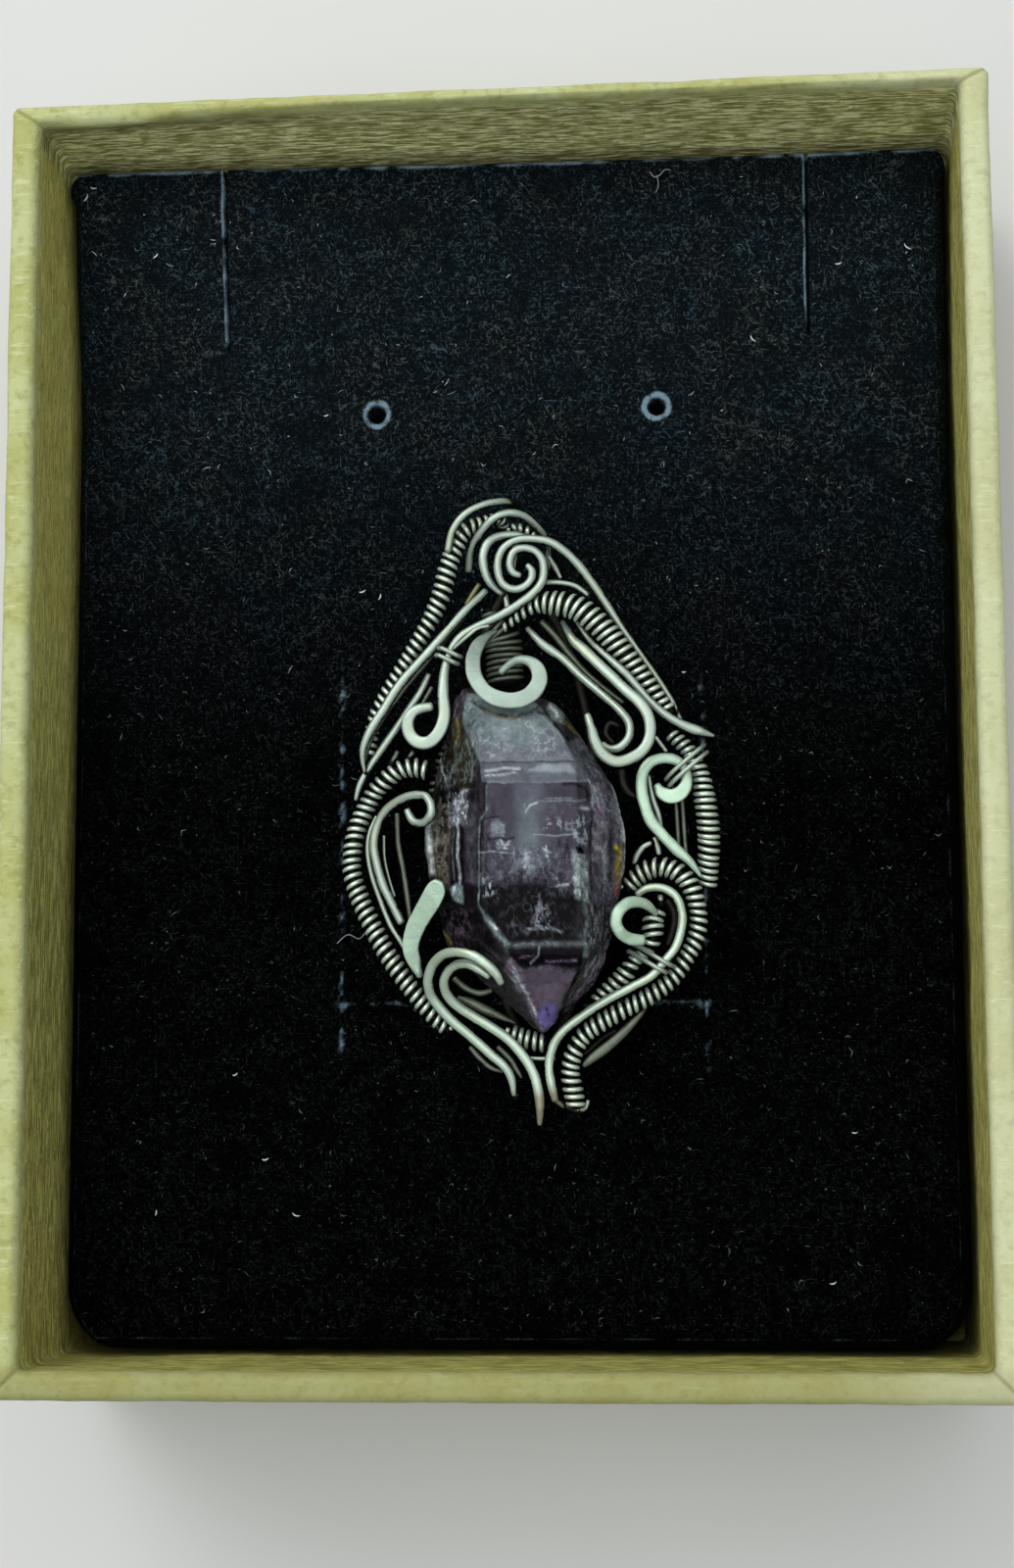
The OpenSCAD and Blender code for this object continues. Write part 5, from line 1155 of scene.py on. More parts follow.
    ("line", 0.8, "frost", 0.07, 6.25, -3.5, 6.4, -5.4),
    # Painted highlight along the right edge
    ("line", 0.95, "snow", 0.24, 8, -3.8, 8.4, -5.2, 8.6, -6.8, 8.6, -8.4, 8.45, -10),
    ("line", 0.8, "soot", 0.09, 6.3, -5.6, 6.2, -7.6, 6.2, -10),
    ("patch", 0.9, "smoke", 0.25, 5.7, -15, 7.6, -15, 8.2, -12.2, 6.2, -12),
    ("chips", 0.8, "slate", 0.3, 5.6, -15.2, 7.6, -15.2, 8.2, -12, 5.9, -12),
    ("frill", 0.9, "frost", 0.3, 5.4, -15.2, 7.6, -15.2, 8.2, -12, 5.9, -12),
    ("patch", 0.7, "brass", 0.2, 7.8, -10.6, 8.3, -10.4, 8.5, -7.9, 7.9, -7.9),
    ("line", 0.8, "bark", 0.08, 8.45, -7.8, 8.5, -9.4, 8.3, -10.6),
    ("line", 1.0, "gold", 0.1, 7.9, -8.1, 8.2, -8.4),
    ("line", 1.0, "gold", 0.09, 8.2, -8.9, 8.05, -9.4, 8, -9.9),
    ("line", 0.9, "rust", 0.09, 8, -10.8, 8, -11.3),
    ("patch", 0.95, "soot", 0.12, 0.7, -16.3, 5.6, -16.3, 5.8, -14.9, 0.3, -14.9),
    ("chips", 0.9, "ink", 0.15, 0.8, -16.2, 5.4, -16.2, 5.4, -14.9, 0.8, -14.9),
    ("line", 0.45, "frost", 0.15, 0.4, -14.75, 3, -14.7, 5.6, -14.75),
    ("line", 0.8, "frost", 0.06, 2.6, -14.8, 2.5, -15.5, 2, -16),
    ("line", 0.8, "lilac", 0.06, 3, -15.95, 5.2, -15.85),
    ("line", 0.6, "lilac", 0.06, 1.2, -15.6, 2.2, -15.5),
    ("line", 0.7, "frost", 0.12, 5.7, -14.7, 5.8, -15.6),
    ("patch", 1.0, "mauve", 0.1, 1.3, -16.5, 3.1, -20.9, 5.2, -16.6, 3.2, -16.2),
    ("patch", 0.7, "lilac", 0.5, 2.2, -17.2, 3, -18.8, 4.4, -17.2, 3.4, -16.9),
    ("patch", 0.5, "plum", 0.2, 1.3, -16.5, 1.9, -17.6, 4.9, -17, 5.2, -16.5, 3.2, -16.2),
    ("line", 0.5, "wine", 0.12, 2.4, -17.6, 3.6, -17.3, 4.4, -17.5),
    ("patch", 0.95, "mauve", 0.12, 0.1, -16.4, 2.8, -21, 3, -20.2, 1.3, -16.4, 0.6, -15.6),
    ("patch", 0.6, "lilac", 0.2, 0.9, -17, 2.6, -20.6, 2.9, -20.2, 1.4, -16.8),
    ("chips", 0.5, "soot", 0.12, 0.1, -16.4, 2.6, -20.8, 2.2, -19.4, 0.9, -16.8, 0.4, -15.8),
    ("chips", 0.8, "frost", 0.12, 0.3, -16.6, 2, -19.2, 1.9, -18.2, 1, -16.6, 0.6, -16),
    ("line", 0.95, "snow", 0.09, 1, -16.9, 1.7, -18.2, 2.4, -19.6),
    ("line", 0.5, "frost", 0.06, 0.8, -16.3, 1.9, -18.2),
    ("patch", 0.95, "smoke", 0.15, 3.6, -20.6, 7.4, -16.2, 7.7, -14.8, 5.5, -16.4, 4.4, -18.4),
    ("chips", 0.9, "lilac", 0.2, 4.4, -19.2, 7.2, -16.2, 7.4, -15, 5.7, -16.2, 4.6, -18),
    ("line", 0.8, "lilac", 0.12, 7.1, -15.5, 6, -17, 5, -18.5),
    ("line", 0.8, "frost", 0.1, 6.4, -15.7, 5.7, -16.9),
    ("line", 1.0, "ink", 0.2, 5.5, -16.4, 4.5, -18.2, 3.8, -20.1),
    ("patch", 0.95, "violet", 0.2, 2.4, -19.8, 3.1, -21, 3.7, -19.8, 3.6, -18.8, 2.7, -18.9),
    ("line", 0.8, "soot", 0.1, 3.05, -19.1, 3.15, -19.6),
    ("line", 0.7, "lilac", 0.14, 3, -20.3, 3.1, -20.8),
]


def crystal_tint(points):
    """Colour, polish and flaws of the crystal at each point: the layers of the table over a smoky body, with noise
    that bends their outlines and mottles them. What the polish adds in reflections is taken off the colours, and
    the calm parts have fewer flaws."""
    x, y = read_place(points)
    x = x + 0.07 * noise(points, 0.8, 71) + 0.03 * noise(points, 0.22, 76)
    y = y + 0.06 * noise(points, 0.8, 72) + 0.03 * noise(points, 0.22, 77)
    broad, small = noise(points, 1.6, 73), noise(points, 0.45, 74)
    curl = noise(points, 0.55, 75) + 0.35 * noise(points, 0.25, 78)
    fleck = noise(points * [1, 0.7, 1], 0.26, 79) + 0.7 * noise(points, 0.12, 80)
    breaks = {
        "patch": 1.0, "line": 0.7 + 0.3 * ease(fleck, -0.5, 0.1), "chips": ease(fleck, 0.1, 0.4),
        "frill": bell(curl, 0.08) * ease(broad, -0.5, 0.4),
    }
    colour = np.ones((*x.shape, 3)) * rgb(*TONES["smoke"])[:3]
    for kind, share, tone, soft, *corners in CRYSTAL_LAYERS:
        shape = streak if kind == "line" else patch
        mask = (share * breaks[kind] * shape(x, y, np.reshape(corners, (-1, 2)), soft))[..., None]
        colour = colour * (1 - mask) + np.array(rgb(*TONES[tone])[:3]) * mask
    calm_face, calm_tip, smooth, frosted = (patch(x, y, np.array(corners), soft) for soft, corners in (
        (0.5, [(-1.5, -8), (6.2, -8), (6, -2), (3.4, 1.5), (-2.6, 2.6), (-1.5, -2)]),
        (0.4, [(1.4, -16.6), (3.1, -20.4), (5, -16.7)]),
        (0.3, [(-1.2, -14), (6, -14), (6, -3.5), (-1.2, -3.5)]),
        (0.2, [(-1.5, -2), (5.5, -2), (3.4, 1.5), (-2.6, 2.6)])))
    calm = np.maximum(calm_face, calm_tip)
    colour = colour * (1 + (0.34 * small + 0.26 * broad) * (1 - 0.6 * calm))[..., None]
    gloss = np.clip(0.55 + 0.3 * small + 0.35 * smooth - 0.4 * frosted, 0, 1)
    reflected, least = 0.004, 0.0005
    return np.maximum(colour - reflected, least), gloss, 1 - calm


class Field:
    """A number that varies over a surface. Sums, differences and products add Math nodes."""

    def __init__(self, graph, socket):
        self.graph = graph
        self.socket = socket

    def __add__(self, other):
        return self.graph.maths("ADD", self, other)

    __radd__ = __add__

    def __sub__(self, other):
        return self.graph.maths("SUBTRACT", self, other)

    def __rsub__(self, other):
        return self.graph.maths("SUBTRACT", other, self)

    def __mul__(self, other):
        return self.graph.maths("MULTIPLY", self, other)

    __rmul__ = __mul__


class Graph:
    """The nodes of one material. Sockets are named by their identifiers."""

    def __init__(self, name):
        self.material = bpy.data.materials.new(name)
        self.material.use_nodes = True
        self.tree = self.material.node_tree
        self.tree.nodes.clear()

    def node(self, kind, settings=None, sockets=None, out=0):
        """A node of that type: its settings are made first, then its sockets get numbers or links."""
        node = self.tree.nodes.new(kind)
        for key, value in (settings or {}).items():
            setattr(node, key, value)
        inputs = {socket.identifier: socket for socket in node.inputs}
        for key, value in (sockets or {}).items():
            if isinstance(value, Field):
                self.tree.links.new(value.socket, inputs[key])
            else:
                inputs[key].default_value = value
        return Field(self, node.outputs[out]) if len(node.outputs) else node

    def maths(self, operation, a, b):
        return self.node("ShaderNodeMath", {"operation": operation}, {"Value": a, "Value_001": b})

    def place(self, scale, turn=0.0):
        """Object coordinates in millimetres, stretched by three scales along axes turned about the upright."""
        where = self.node("ShaderNodeTexCoord", out="Object")
        turned = self.node("ShaderNodeMapping", {}, {"Vector": where, "Rotation": (0, 0, turn)})
        return self.node("ShaderNodeMapping", {}, {"Vector": turned, "Scale": tuple(s / MM for s in scale)})

    def unrolled(self, across, along):
        """The piece's own UV map, scaled: shares of the way round the wire, and millimetres along it."""
        where = self.node("ShaderNodeTexCoord", out="UV")
        return self.node("ShaderNodeMapping", {}, {"Vector": where, "Scale": (across, along, 1)})

    def axis(self, where, letter):
        return self.node("ShaderNodeSeparateXYZ", {}, {"Vector": where}, out=letter)

    def number(self, name):
        return self.node("ShaderNodeAttribute", {"attribute_name": name}, out="Fac")

    def colour(self, name):
        return self.node("ShaderNodeAttribute", {"attribute_name": name}, out="Color")

    def noise(self, where, scale=1.0, detail=3.0, roughness=0.5):
        """Noise from 0 to 1, mostly near 0.5."""
        return self.node("ShaderNodeTexNoise", {}, {
            "Vector": where, "Scale": scale, "Detail": detail, "Roughness": roughness})

    def ease(self, value, low, high):
        """Smooth step from 0 at low to 1 at high."""
        return self.node("ShaderNodeMapRange", {"interpolation_type": "SMOOTHSTEP"}, {
            "Value": value, "From Min": low, "From Max": high})

    def mix(self, share, a, b):
        """Colour a turned to colour b by the share."""
        return self.node("ShaderNodeMix", {"data_type": "RGBA"}, {
            "Factor_Float": share, "A_Color": a, "B_Color": b}, out=2)

    def layers(self, colour, *rows):
        """Colour over colour: each row's share of its own colour where its pattern goes from low to high."""
        for pattern, low, high, share, own in rows:
            colour = self.mix(self.ease(pattern, low, high) * share, colour, rgb(*own))
        return colour

    def scaled(self, colour, factor):
        return self.node("ShaderNodeVectorMath", {"operation": "SCALE"}, {"Vector": colour, "Scale": factor})

    def bump(self, height, strength, distance):
        """Bumps of that height, in millimetres, on the surface's normal."""
        return self.node("ShaderNodeBump", {}, {"Height": height, "Strength": strength, "Distance": distance * MM})

    def surface(self, **sockets):
        """Ends the material in one Principled shader; names have _ for a space."""
        shader = self.node("ShaderNodeBsdfPrincipled", {}, {k.replace("_", " "): v for k, v in sockets.items()})
        self.node("ShaderNodeOutputMaterial", {}, {"Surface": shader})
        return self.material


def silver(name, bright, dark, warm, start, full, polish, dents, burnt_ends):
    """Oxidised silver: dark where it is sheltered, from patina and painted shade, and bright where the wire stands
    out and faces up, from wear and painted light, with blotches, faint drawing lines along it and small pits.
    Below the coils the wires' free ends can be burnt brown."""
    g = Graph(name)
    where = g.place((1, 1, 1))
    rub = g.number("rub")
    blotch, grain, tone = g.noise(where, 1.1, 3, 0.6), g.noise(where, 7, 2, 0.6), g.noise(where, 0.45, 2)
    drawn = g.noise(g.unrolled(5, 0.3), 3, 3, 0.6)
    share = g.ease(rub + (blotch - 0.5) * 0.75 + (grain - 0.5) * 0.5 + (drawn - 0.5) * 1.3, start, full)
    metal = g.mix(g.ease(tone, 0.45, 0.75) * 0.4, bright, warm)
    polished = (*(1.14 * c for c in bright[:3]), 1.0)
    metal = g.mix(g.ease(g.noise(where, 0.9, 3, 0.6), 0.52, 0.68) * 0.5, metal, polished)
    if burnt_ends:
        ragged = g.axis(where, "Y") + (blotch - 0.5) * 1.2
        metal = g.layers(metal, (ragged, -24.3, -25.4, burnt_ends, (138, 126, 102)))
    colour = g.mix(share, dark, metal)
    roughness = (1 - share) * 0.22 + polish + (grain - 0.5) * 0.14 + (drawn - 0.5) * 0.1
    height = drawn * 0.004 + grain * 0.006 + g.noise(where, 2.2, 2) * dents
    return g.surface(Base_Color=colour, Metallic=0.6, Roughness=roughness, Normal=g.bump(height, 0.8, 1.0),
                     Specular_IOR_Level=0.3)


def kraft(name):
    """Lined kraft card: flecked pulp with fine fibres and level wrinkles on the lining, paler on the rim, with a
    painted shadow along the near rim, painted shade along the mitred folds and a band of painted shade across the
    top of the far wall's left part, under its ripped crease."""
    g = Graph(name)
    where = g.place((1, 1, 1))
    rim, fold, lining = g.number("rim"), g.number("fold"), g.number("lining")
    cloud, pulp, speck = g.noise(where, 0.16, 3), g.noise(where, 1.4, 4, 0.65), g.noise(where, 5, 2)
    fibre = g.noise(g.place((0.5, 0.5, 4.5)), 1, 3, 0.6)
    cross = g.noise(g.place((0.35, 2.2, 2.2)), 1.2, 3, 0.65)
    level_fibre = g.noise(g.place((0.8, 0.8, 9)), 1, 3, 0.6)
    base = g.mix(g.ease(cloud, 0.2, 0.8), rgb(162, 159, 98), rgb(168, 167, 107))
    base = g.layers(base, (pulp, 0.42, 0.72, 0.3, (144, 137, 76)), (level_fibre, 0.5, 0.62, 0.25, (186, 184, 128)))
    inner = g.mix(g.ease(fibre, 0.42, 0.62), rgb(140, 136, 64), rgb(212, 208, 118))
    x, y, z = (g.axis(where, letter) for letter in "XYZ")
    far_wall = g.ease(y, 42, 43)
    inner = g.mix(g.ease(y, -15, 15) * g.ease(x, -30, -32) * 0.4, inner, rgb(226, 222, 122))
    inner = g.mix(far_wall, inner, g.mix(g.ease(fibre, 0.44, 0.58), rgb(144, 143, 80), rgb(255, 255, 190)))
    inner = g.layers(inner, (pulp, 0.5, 0.7, 0.6, (138, 132, 58)))
    # Painted shade: a dark band across the top of the far wall's left part, under its ripped crease
    crease_shade = far_wall * g.ease(z, 22.6, 24) * g.ease(x + cloud * 8, -4, -16)
    inner = g.mix(crease_shade * 0.6, inner, rgb(96, 82, 44))
    base = g.mix(lining * 0.92, base, inner)
    # The rim's colour; its darker layer along the near rim is a painted shadow
    rubbed = g.layers(
        g.mix(g.ease(cloud, 0.35, 0.65), rgb(188, 194, 142), rgb(172, 175, 108)),
        (pulp, 0.46, 0.7, 0.55, (142, 140, 78)), (cross, 0.54, 0.7, 0.6, (206, 212, 166)),
        (y, -42.5, -43.5, 0.6, (132, 128, 72)), (x, 20, 33, 0.3, (236, 238, 214)))
    base = g.mix(rim * 0.9, base, rubbed)
    base = g.mix(g.ease(cross, 0.56, 0.7) * lining * 0.6, base, rgb(222, 219, 148))
    base = g.layers(base, (speck, 0.7, 0.78, 0.4, (96, 84, 44)))
    # Painted shade along the valley of each mitred fold
    base = g.mix(fold * 0.55, base, rgb(112, 104, 58))
    height = fibre * lining * 0.26 + pulp * (0.03 + lining * 0.07) + speck * 0.02 + cross * lining * 0.1
    return g.surface(Base_Color=base, Roughness=0.86, Normal=g.bump(height, 0.8, 1.0), Specular_IOR_Level=0.25)


def flock(name):
    """Black flock with a blue-grey nap: fine specks and short strokes, paler towards the far end as a painted
    light, and paler where a cut or hole has frayed it."""
    g = Graph(name)
    where = g.place((1, 1, 1))
    fray = g.number("fray")
    speck, cloud = g.noise(where, 5.5, 3, 0.7), g.noise(where, 0.35, 3)
    strokes = [g.noise(g.place((1.5, 6.5, 6), turn), 1, 2, 0.6) for turn in (0.1, 0.9, -0.7, 1.5)]
    # Painted light: the flock grows paler towards the far end
    lit = g.ease(g.axis(where, "Y"), -6, 36)
    dull = g.mix(lit, rgb(0, 0, 0), rgb(9, 14, 17))
    hue = g.ease(g.noise(where, 0.22, 2), 0.4, 0.6)
    pale = g.mix(lit, rgb(26, 30, 30), g.mix(hue, rgb(64, 88, 98), rgb(80, 88, 88)))
    base = g.mix(g.ease(speck, 0.52, 0.8) * 0.3, dull, pale)
    for stroke in strokes:
        base = g.mix(g.ease(stroke, 0.6, 0.72) * g.ease(cloud, 0.25, 0.55) * 0.6, base, pale)
    base = g.mix(g.ease(fray * (0.3 + speck * 1.5), 0.25, 1.0), base, rgb(112, 134, 148))
    return g.surface(Base_Color=base, Roughness=0.95, Specular_IOR_Level=0.02,
                     Normal=g.bump(speck * 0.1 + strokes[0] * 0.08 + strokes[1] * 0.08, 0.8, 1.0))


def fibre_look(name, dull, bright):
    """Fibres from dull to bright by their shade value: their own tone, with the painted light and shade of the
    flock fibres.
    """
    g = Graph(name)
    base = g.mix(g.number("shade") * (0.75 + g.noise(g.place((1, 1, 1)), 3, 2) * 0.5), dull, bright)
    return g.surface(Base_Color=base, Roughness=0.6, Specular_IOR_Level=0.35)


def amethyst(name):
    """Amethyst under a glossy skin: its painted depth comes from the tint of each point, with fine veils, hairline
    cracks and level growth lines, and its polish from the gloss."""
    g = Graph(name)
    where = g.place((1, 1, 1))
    gloss = g.number("gloss")
    veil = g.noise(g.place((1.5, 0.8, 1.0)), 1.8, 6, 0.72)
    crack = g.noise(where, 0.9, 4, 0.6)
    line = g.noise(g.place((0.25, 5.5, 1)), 1, 3, 0.6)
    stretches = (((1.3, 7, 3), 0.06), ((6, 1.1, 3), 0.1), ((2.2, 6, 3), 0.8), ((2.2, 6, 3), -0.9))
    flecks = [g.ease(g.noise(g.place(scale, turn), 1, 3, 0.65), 0.6, 0.68) for scale, turn in stretches]
    hair = g.ease(g.maths("ABSOLUTE", crack - 0.5, 0), 0.014, 0.0)
    flaw = g.number("flaw")
    light = (g.ease(veil, 0.36, 0.66) - 0.5) * (0.25 + flaw * 0.75) + 1
    for fleck in flecks:
        light = light + fleck * (0.12 + flaw * 0.4)
    light = light + hair * (0.25 + flaw * 0.4)
    base = g.scaled(g.colour("tint"), light)
    height = line * 0.02 + veil * 0.012 + hair * 0.01
    return g.surface(Base_Color=base, Roughness=0.4 - gloss * 0.3, IOR=1.54, Specular_IOR_Level=0.05,
                     Normal=g.bump(height, 0.6, 1.0))


def studio_floor(name):
    """Plain pale floor with the faintest grain."""
    g = Graph(name)
    grain = g.noise(g.place((0.02, 0.02, 0.02)), 1, 3)
    return g.surface(Base_Color=g.mix(grain, rgb(206, 206, 204), rgb(216, 216, 214)), Roughness=0.7)


MINT, WARM = (165, 181, 168), (166, 164, 124)
# Silver looks: bright, dark and warm colour, value of wear and painted light at which the bright starts and is
# full, roughness, depth of the dents, share of burnt brown at the free ends
SILVERS = {
    "silver_wire": (MINT, (10, 14, 9), WARM, 0.52, 0.78, 0.38, 0, 0.85),
    "coiled_silver": ((214, 230, 212), (10, 10, 6), WARM, 0.3, 0.7, 0.3, 0, 0),
    # dark_silver and the look below it are darker copies of the silver: painted shade on wires under or behind
    # others
    "dark_silver": ((104, 112, 98), (14, 14, 11), (84, 84, 66), 0.45, 1, 0.4, 0, 0),
    "sunk_silver": ((44, 46, 38), (12, 12, 10), (40, 38, 28), 0.5, 1.2, 0.5, 0, 0),
    "warm_wire": ((112, 116, 80), (28, 30, 16), (122, 122, 72), 0.3, 0.9, 0.4, 0, 0),
    "hammered_silver": ((157, 175, 163), (20, 26, 20), MINT, 0.3, 0.7, 0.55, 0.05, 0),
    # A brighter copy of silver_wire: painted light on the bottom scrolls and the heart wire
    "pale_silver": ((188, 208, 190), (10, 14, 9), WARM, 0.4, 0.72, 0.38, 0, 0.85),
    "paddle_silver": ((184, 211, 188), (20, 26, 20), MINT, 0.3, 0.7, 0.5, 0.05, 0),
}
# Looks of loose fibres: dull and bright colour
FIBRES = {
    "flock_fibre": ((8, 11, 12), (150, 172, 178)), "flock_glint": ((16, 22, 24), (215, 232, 236)),
    "lint": ((90, 100, 104), (205, 222, 220)),
}
MATERIALS = {}


def looks():
    """The materials by name, made once."""
    if not MATERIALS:
        for maker, name in ((kraft, "kraft_card"), (flock, "flocked_foam"), (amethyst, "amethyst"),
                            (studio_floor, "studio_floor")):
            MATERIALS[name] = maker(name)
        for name, (bright, dark, warm, *numbers) in SILVERS.items():
            MATERIALS[name] = silver(name, rgb(*bright), rgb(*dark), rgb(*warm), *numbers)
        for name, (dull, bright) in FIBRES.items():
            MATERIALS[name] = fibre_look(name, rgb(*dull), rgb(*bright))
    return MATERIALS


def slot_of(name):
    """The record's material slot of a wire or coil."""
    if name in DARK:
        return "dark_silver"
    if name in COILS:
        return "coiled_silver"
    return "hammered_silver" if name in HAMMERED else "silver_wire"


def put_wires(names, look):
    """Builds the plain wires of those names, each in place of its own CAD node."""
    for name in names:
        skin = wire_skin(route(name, look.step)[0], list(ROUTES).index(name), look.sides,
                         0.02 if name in DENTED else 0.0)
        skin.put(f"{name}_drawn", looks()[OWN_LOOK.get(name, slot_of(name))], slot_of(name), [name])


class TrayLook(bpy.types.PropertyGroup):
    rim_radius: bpy.props.FloatProperty(name="Rim radius", description="Rounding of the rim's two edges, in mm",
                                        default=0.75, min=0.2, max=0.95)
    waviness: bpy.props.FloatProperty(name="Waviness", description="How far the lining bends in and out, in mm",
                                      default=0.09, min=0, max=0.3)


class PadLook(bpy.types.PropertyGroup):
    grid_step: bpy.props.FloatProperty(name="Grid step", description="Longest side of a square of the face, in mm",
                                       default=0.5, min=0.4, max=2)
    nap: bpy.props.FloatProperty(name="Nap", description="Height of the small bumps of the flock, in mm",
                                 default=0.03, min=0, max=0.1)
    fibres: bpy.props.IntProperty(name="Fibres", description="Number of loose flock fibres", default=13500, min=0,
                                  max=14000)
    glints: bpy.props.IntProperty(name="Glints", description="Number of thicker, paler fibres", default=1300,
                                  min=0, max=5000)


class CrystalLook(bpy.types.PropertyGroup):
    rows: bpy.props.IntProperty(name="Rows", description="Rings of points from the root to the tip", default=250,
                                min=60, max=260)
    columns: bpy.props.IntProperty(name="Columns", description="Points on each ring", default=380, min=60, max=380)


class WireLook(bpy.types.PropertyGroup):
    sides: bpy.props.IntProperty(name="Sides", description="Sides of a plain wire", default=18, min=8, max=32)
    step: bpy.props.FloatProperty(name="Step", description="Distance between the rings of a plain wire, in mm",
                                  default=0.14, min=0.1, max=0.6)
    coil_sides: bpy.props.IntProperty(name="Coil sides", description="Sides of the fine wire", default=8, min=5,
                                      max=16)
    coil_steps: bpy.props.IntProperty(name="Coil steps", description="Rings of the fine wire in each turn",
                                      default=20, min=10, max=40)


class StageLook(bpy.types.PropertyGroup):
    floor_size: bpy.props.FloatProperty(name="Floor size", description="Side of the floor", default=3,
                                        unit="LENGTH", min=1, max=10)
    lens: bpy.props.FloatProperty(name="Lens", description="Focal length for a 36 mm sensor", default=CAMERA_LENS,
                                  min=20, max=200)


class PENDANT_OT_tray(bpy.types.Operator):
    """Builds the kraft card tray"""

    bl_idname = "pendant.tray"
    bl_label = "Card tray"

    def execute(self, context):
        tray_skin(context.scene.pendant_tray).put("card_tray", looks()["kraft_card"], "kraft_card", ["tray"])
        return {"FINISHED"}


class PENDANT_OT_pad(bpy.types.Operator):
    """Builds the flocked foam pad and its loose fibres"""

    bl_idname = "pendant.pad"
    bl_label = "Flocked pad"

    def execute(self, context):
        look = context.scene.pendant_pad
        pad = pad_skin(look).put("flocked_pad", looks()["flocked_foam"], "flocked_foam", ["foam_pad"])
        nap = fibre_skin(look.fibres, look.nap, 77, 0.34, 0.022, (0.8, 3.0))
        nap.put("flock_fibres", looks()["flock_fibre"], "flocked_foam")
        glints = fibre_skin(look.glints, look.nap, 78, 0.4, 0.055, (0.9, 2.2))
        glints.put("flock_glints", looks()["flock_glint"], "flocked_foam")
        return {"FINISHED"}


class PENDANT_OT_crystal(bpy.types.Operator):
    """Builds the amethyst point"""

    bl_idname = "pendant.crystal"
    bl_label = "Crystal point"

    def execute(self, context):
        skin = crystal_skin(context.scene.pendant_crystal)
        skin.put("amethyst_point", looks()["amethyst"], "amethyst", ["crystal"])
        return {"FINISHED"}


class PENDANT_OT_bail(bpy.types.Operator):
    """Builds the wires of the bail and the double spiral"""

    bl_idname = "pendant.bail"
    bl_label = "Bail and spiral"

    def execute(self, context):
        put_wires(BAIL, context.scene.pendant_wire)
        return {"FINISHED"}


class PENDANT_OT_scrolls(bpy.types.Operator):
    """Builds the scrolls, hooks and long wires in front of the crystal"""

    bl_idname = "pendant.scrolls"
    bl_label = "Scrolls and hooks"

    def execute(self, context):
        put_wires(SCROLLS, context.scene.pendant_wire)
        return {"FINISHED"}


class PENDANT_OT_strands(bpy.types.Operator):
    """Builds the thin strands of the frame, the back wires and the slivers between them"""

    bl_idname = "pendant.strands"
    bl_label = "Frame strands"

    def execute(self, context):
        look = context.scene.pendant_wire
        put_wires(STRANDS, look)
        sides, no_route = 12, -1
        for name, (material, rows) in SLIVERS.items():
            skin = wire_skin(laid(rows, look.step)[0], no_route, sides)
            skin.put(name, looks()[material], SLOT_OF_LOOK.get(material, material))
        return {"FINISHED"}


class PENDANT_OT_coils(bpy.types.Operator):
    """Winds the coils of fine wire on their cores"""

    bl_idname = "pendant.coils"
    bl_label = "Coils"

    def execute(self, context):
        look = context.scene.pendant_wire
        for name, (pitch, flat, lean) in COILS.items():
            skin = coil_skin(*route(name, CORE_STEP), pitch, flat, lean, list(ROUTES).index(name), look)
            skin.put(f"{name}_wound", looks()[slot_of(name)], slot_of(name), [name])
        skin = coil_skin(*laid(BACK_COIL, CORE_STEP), 0.5, 1, 1, BACK_COIL_NUMBER, look)
        skin.put("back_coil_wound", looks()["dark_silver"], "dark_silver")
        return {"FINISHED"}


class PENDANT_OT_bindings(bpy.types.Operator):
    """Winds the three bindings that hold neighbouring wires together"""

    bl_idname = "pendant.bindings"
    bl_label = "Bindings"

    def execute(self, context):
        for name, loop in BINDINGS.items():
            binding_skin(*loop).put(f"{name}_wound", looks()["silver_wire"], "silver_wire", [name])
        return {"FINISHED"}


class PENDANT_OT_lint(bpy.types.Operator):
    """Drops the bits of lint and the hairs on the pad"""

    bl_idname = "pendant.lint"
    bl_label = "Lint and hairs"

    def execute(self, context):
        skin, nap = Skin(), context.scene.pendant_pad.nap
        sides, over_lint, over_hair, hair_step, hair_shade = 6, 0.24, 0.1, 0.1, 0.3
        bits = []
        t = np.linspace(-1, 1, 7)
        for x, y, length, turn, bright in LINT:
            heading = np.radians(turn) + 0.35 * t
            x, y = x + length / 2 * t * np.cos(heading), y + length / 2 * t * np.sin(heading)
            line = np.column_stack([x, y, pad_height(x, y, nap)[0] + over_lint + 0.06 * (1 - t * t)])
            bits.append((line, 0.11 * (1 - 0.6 * t * t), bright))
        for rows in HAIRS:
            rows = np.array(rows, float)
            rows[:, 2] += pad_height(rows[:, 0], rows[:, 1], nap)[0] + over_hair
            path, _ = even(curve(rows), hair_step)
            bits.append((path[:, :3], path[:, 3], hair_shade))
        for line, size, shade in bits:
            grid, u, v, _ = tube(line, size, size, sides)
            skin.grid(grid, u, v, shade=np.full(grid.shape[:2], shade))
        skin.put("lint_and_hairs", looks()["lint"], "flocked_foam")
        return {"FINISHED"}


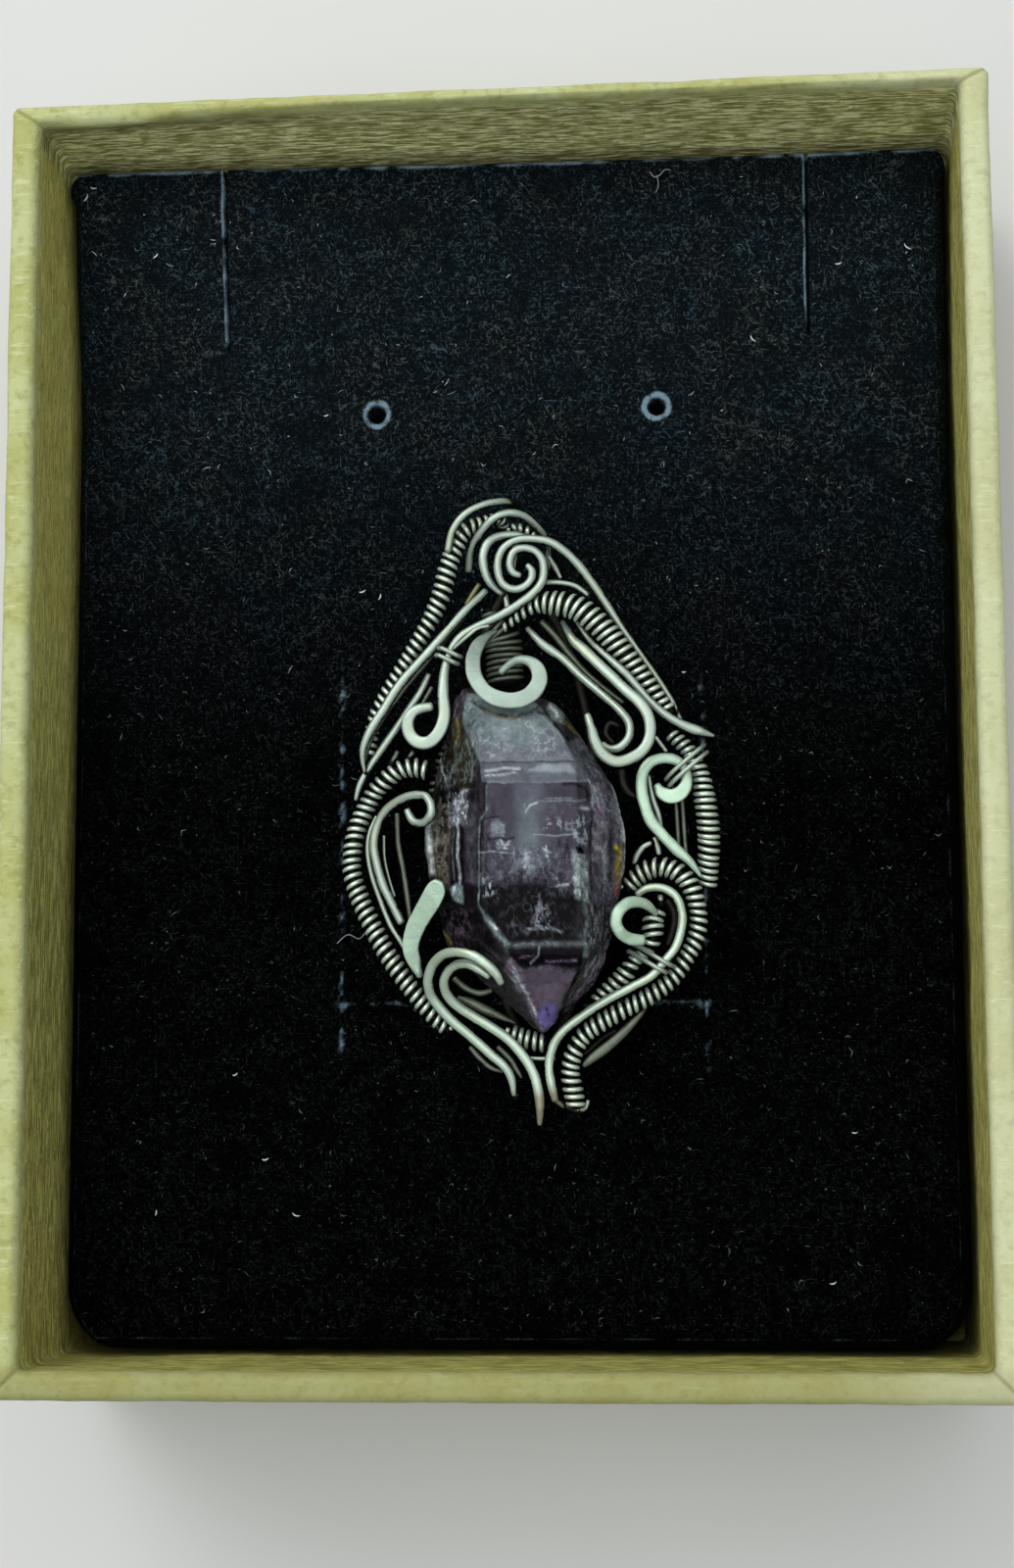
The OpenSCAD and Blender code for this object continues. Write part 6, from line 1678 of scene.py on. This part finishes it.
class PENDANT_OT_stage(bpy.types.Operator):
    """Sets the pale floor, the soft lights and the camera at the picture's own angle"""

    bl_idname = "pendant.stage"
    bl_label = "Floor, light and camera"

    def execute(self, context):
        scene = context.scene
        look = scene.pendant_stage
        half = look.floor_size / 2
        corners = [(-half, -half, 0), (half, -half, 0), (half, half, 0), (-half, half, 0)]
        mesh = bpy.data.meshes.new("floor")
        mesh.from_pydata(corners, [], [(0, 1, 2, 3)])
        mesh.materials.append(looks()["studio_floor"])
        floor = bpy.data.objects.new("floor", mesh)
        floor.location.z = -FLOOR_GAP
        scene.collection.objects.link(floor)
        world = bpy.data.worlds.new("studio")
        world.use_nodes = True
        background = world.node_tree.nodes["Background"]
        background.inputs["Color"].default_value = (0.92, 0.97, 1.0, 1)
        background.inputs["Strength"].default_value = 0.42
        scene.world = world
        for name, place, turn, size, power in LIGHTS:
            light = bpy.data.lights.new(name, "AREA")
            light.size, light.energy = size, power
            lamp = bpy.data.objects.new(name, light)
            lamp.location = place
            lamp.rotation_euler = [np.radians(a) for a in turn]
            scene.collection.objects.link(lamp)
        camera = bpy.data.cameras.new("picture_camera")
        camera.lens = look.lens
        camera.clip_start = 0.01
        viewer = bpy.data.objects.new("picture_camera", camera)
        viewer.location = CAMERA_AT * MM
        viewer.rotation_euler = [np.radians(a) for a in CAMERA_TURN]
        scene.collection.objects.link(viewer)
        scene.camera = viewer
        scene.view_settings.view_transform = "Standard"
        scene.view_settings.look = "None"
        return {"FINISHED"}


class PENDANT_PT_panel(bpy.types.Panel):
    """Panel with every piece of the pendant's looks"""

    bl_idname = "PENDANT_PT_panel"
    bl_label = "Pendant looks"
    bl_space_type = "VIEW_3D"
    bl_region_type = "UI"
    bl_category = "Pendant"

    def draw(self, context):
        for group in GROUPS:
            settings = getattr(context.scene, group)
            box = self.layout.box()
            for key in settings.__annotations__:
                box.prop(settings, key)
        for operator in STEPS:
            self.layout.operator(operator.bl_idname)


GROUPS = {
    "pendant_tray": TrayLook, "pendant_pad": PadLook, "pendant_crystal": CrystalLook, "pendant_wire": WireLook,
    "pendant_stage": StageLook,
}
STEPS = (
    PENDANT_OT_tray, PENDANT_OT_pad, PENDANT_OT_crystal, PENDANT_OT_bail, PENDANT_OT_scrolls, PENDANT_OT_strands,
    PENDANT_OT_coils, PENDANT_OT_bindings, PENDANT_OT_lint, PENDANT_OT_stage,
)


def register():
    for part in (*GROUPS.values(), *STEPS, PENDANT_PT_panel):
        bpy.utils.register_class(part)
    for name, group in GROUPS.items():
        setattr(bpy.types.Scene, name, bpy.props.PointerProperty(type=group))


def unregister():
    for name in GROUPS:
        delattr(bpy.types.Scene, name)
    for part in (PENDANT_PT_panel, *reversed(STEPS), *GROUPS.values()):
        bpy.utils.unregister_class(part)


def main():
    """Builds everything in order."""
    register()
    for step in STEPS:
        getattr(bpy.ops.pendant, step.bl_idname.partition(".")[2])()


if __name__ == "__main__":
    main()
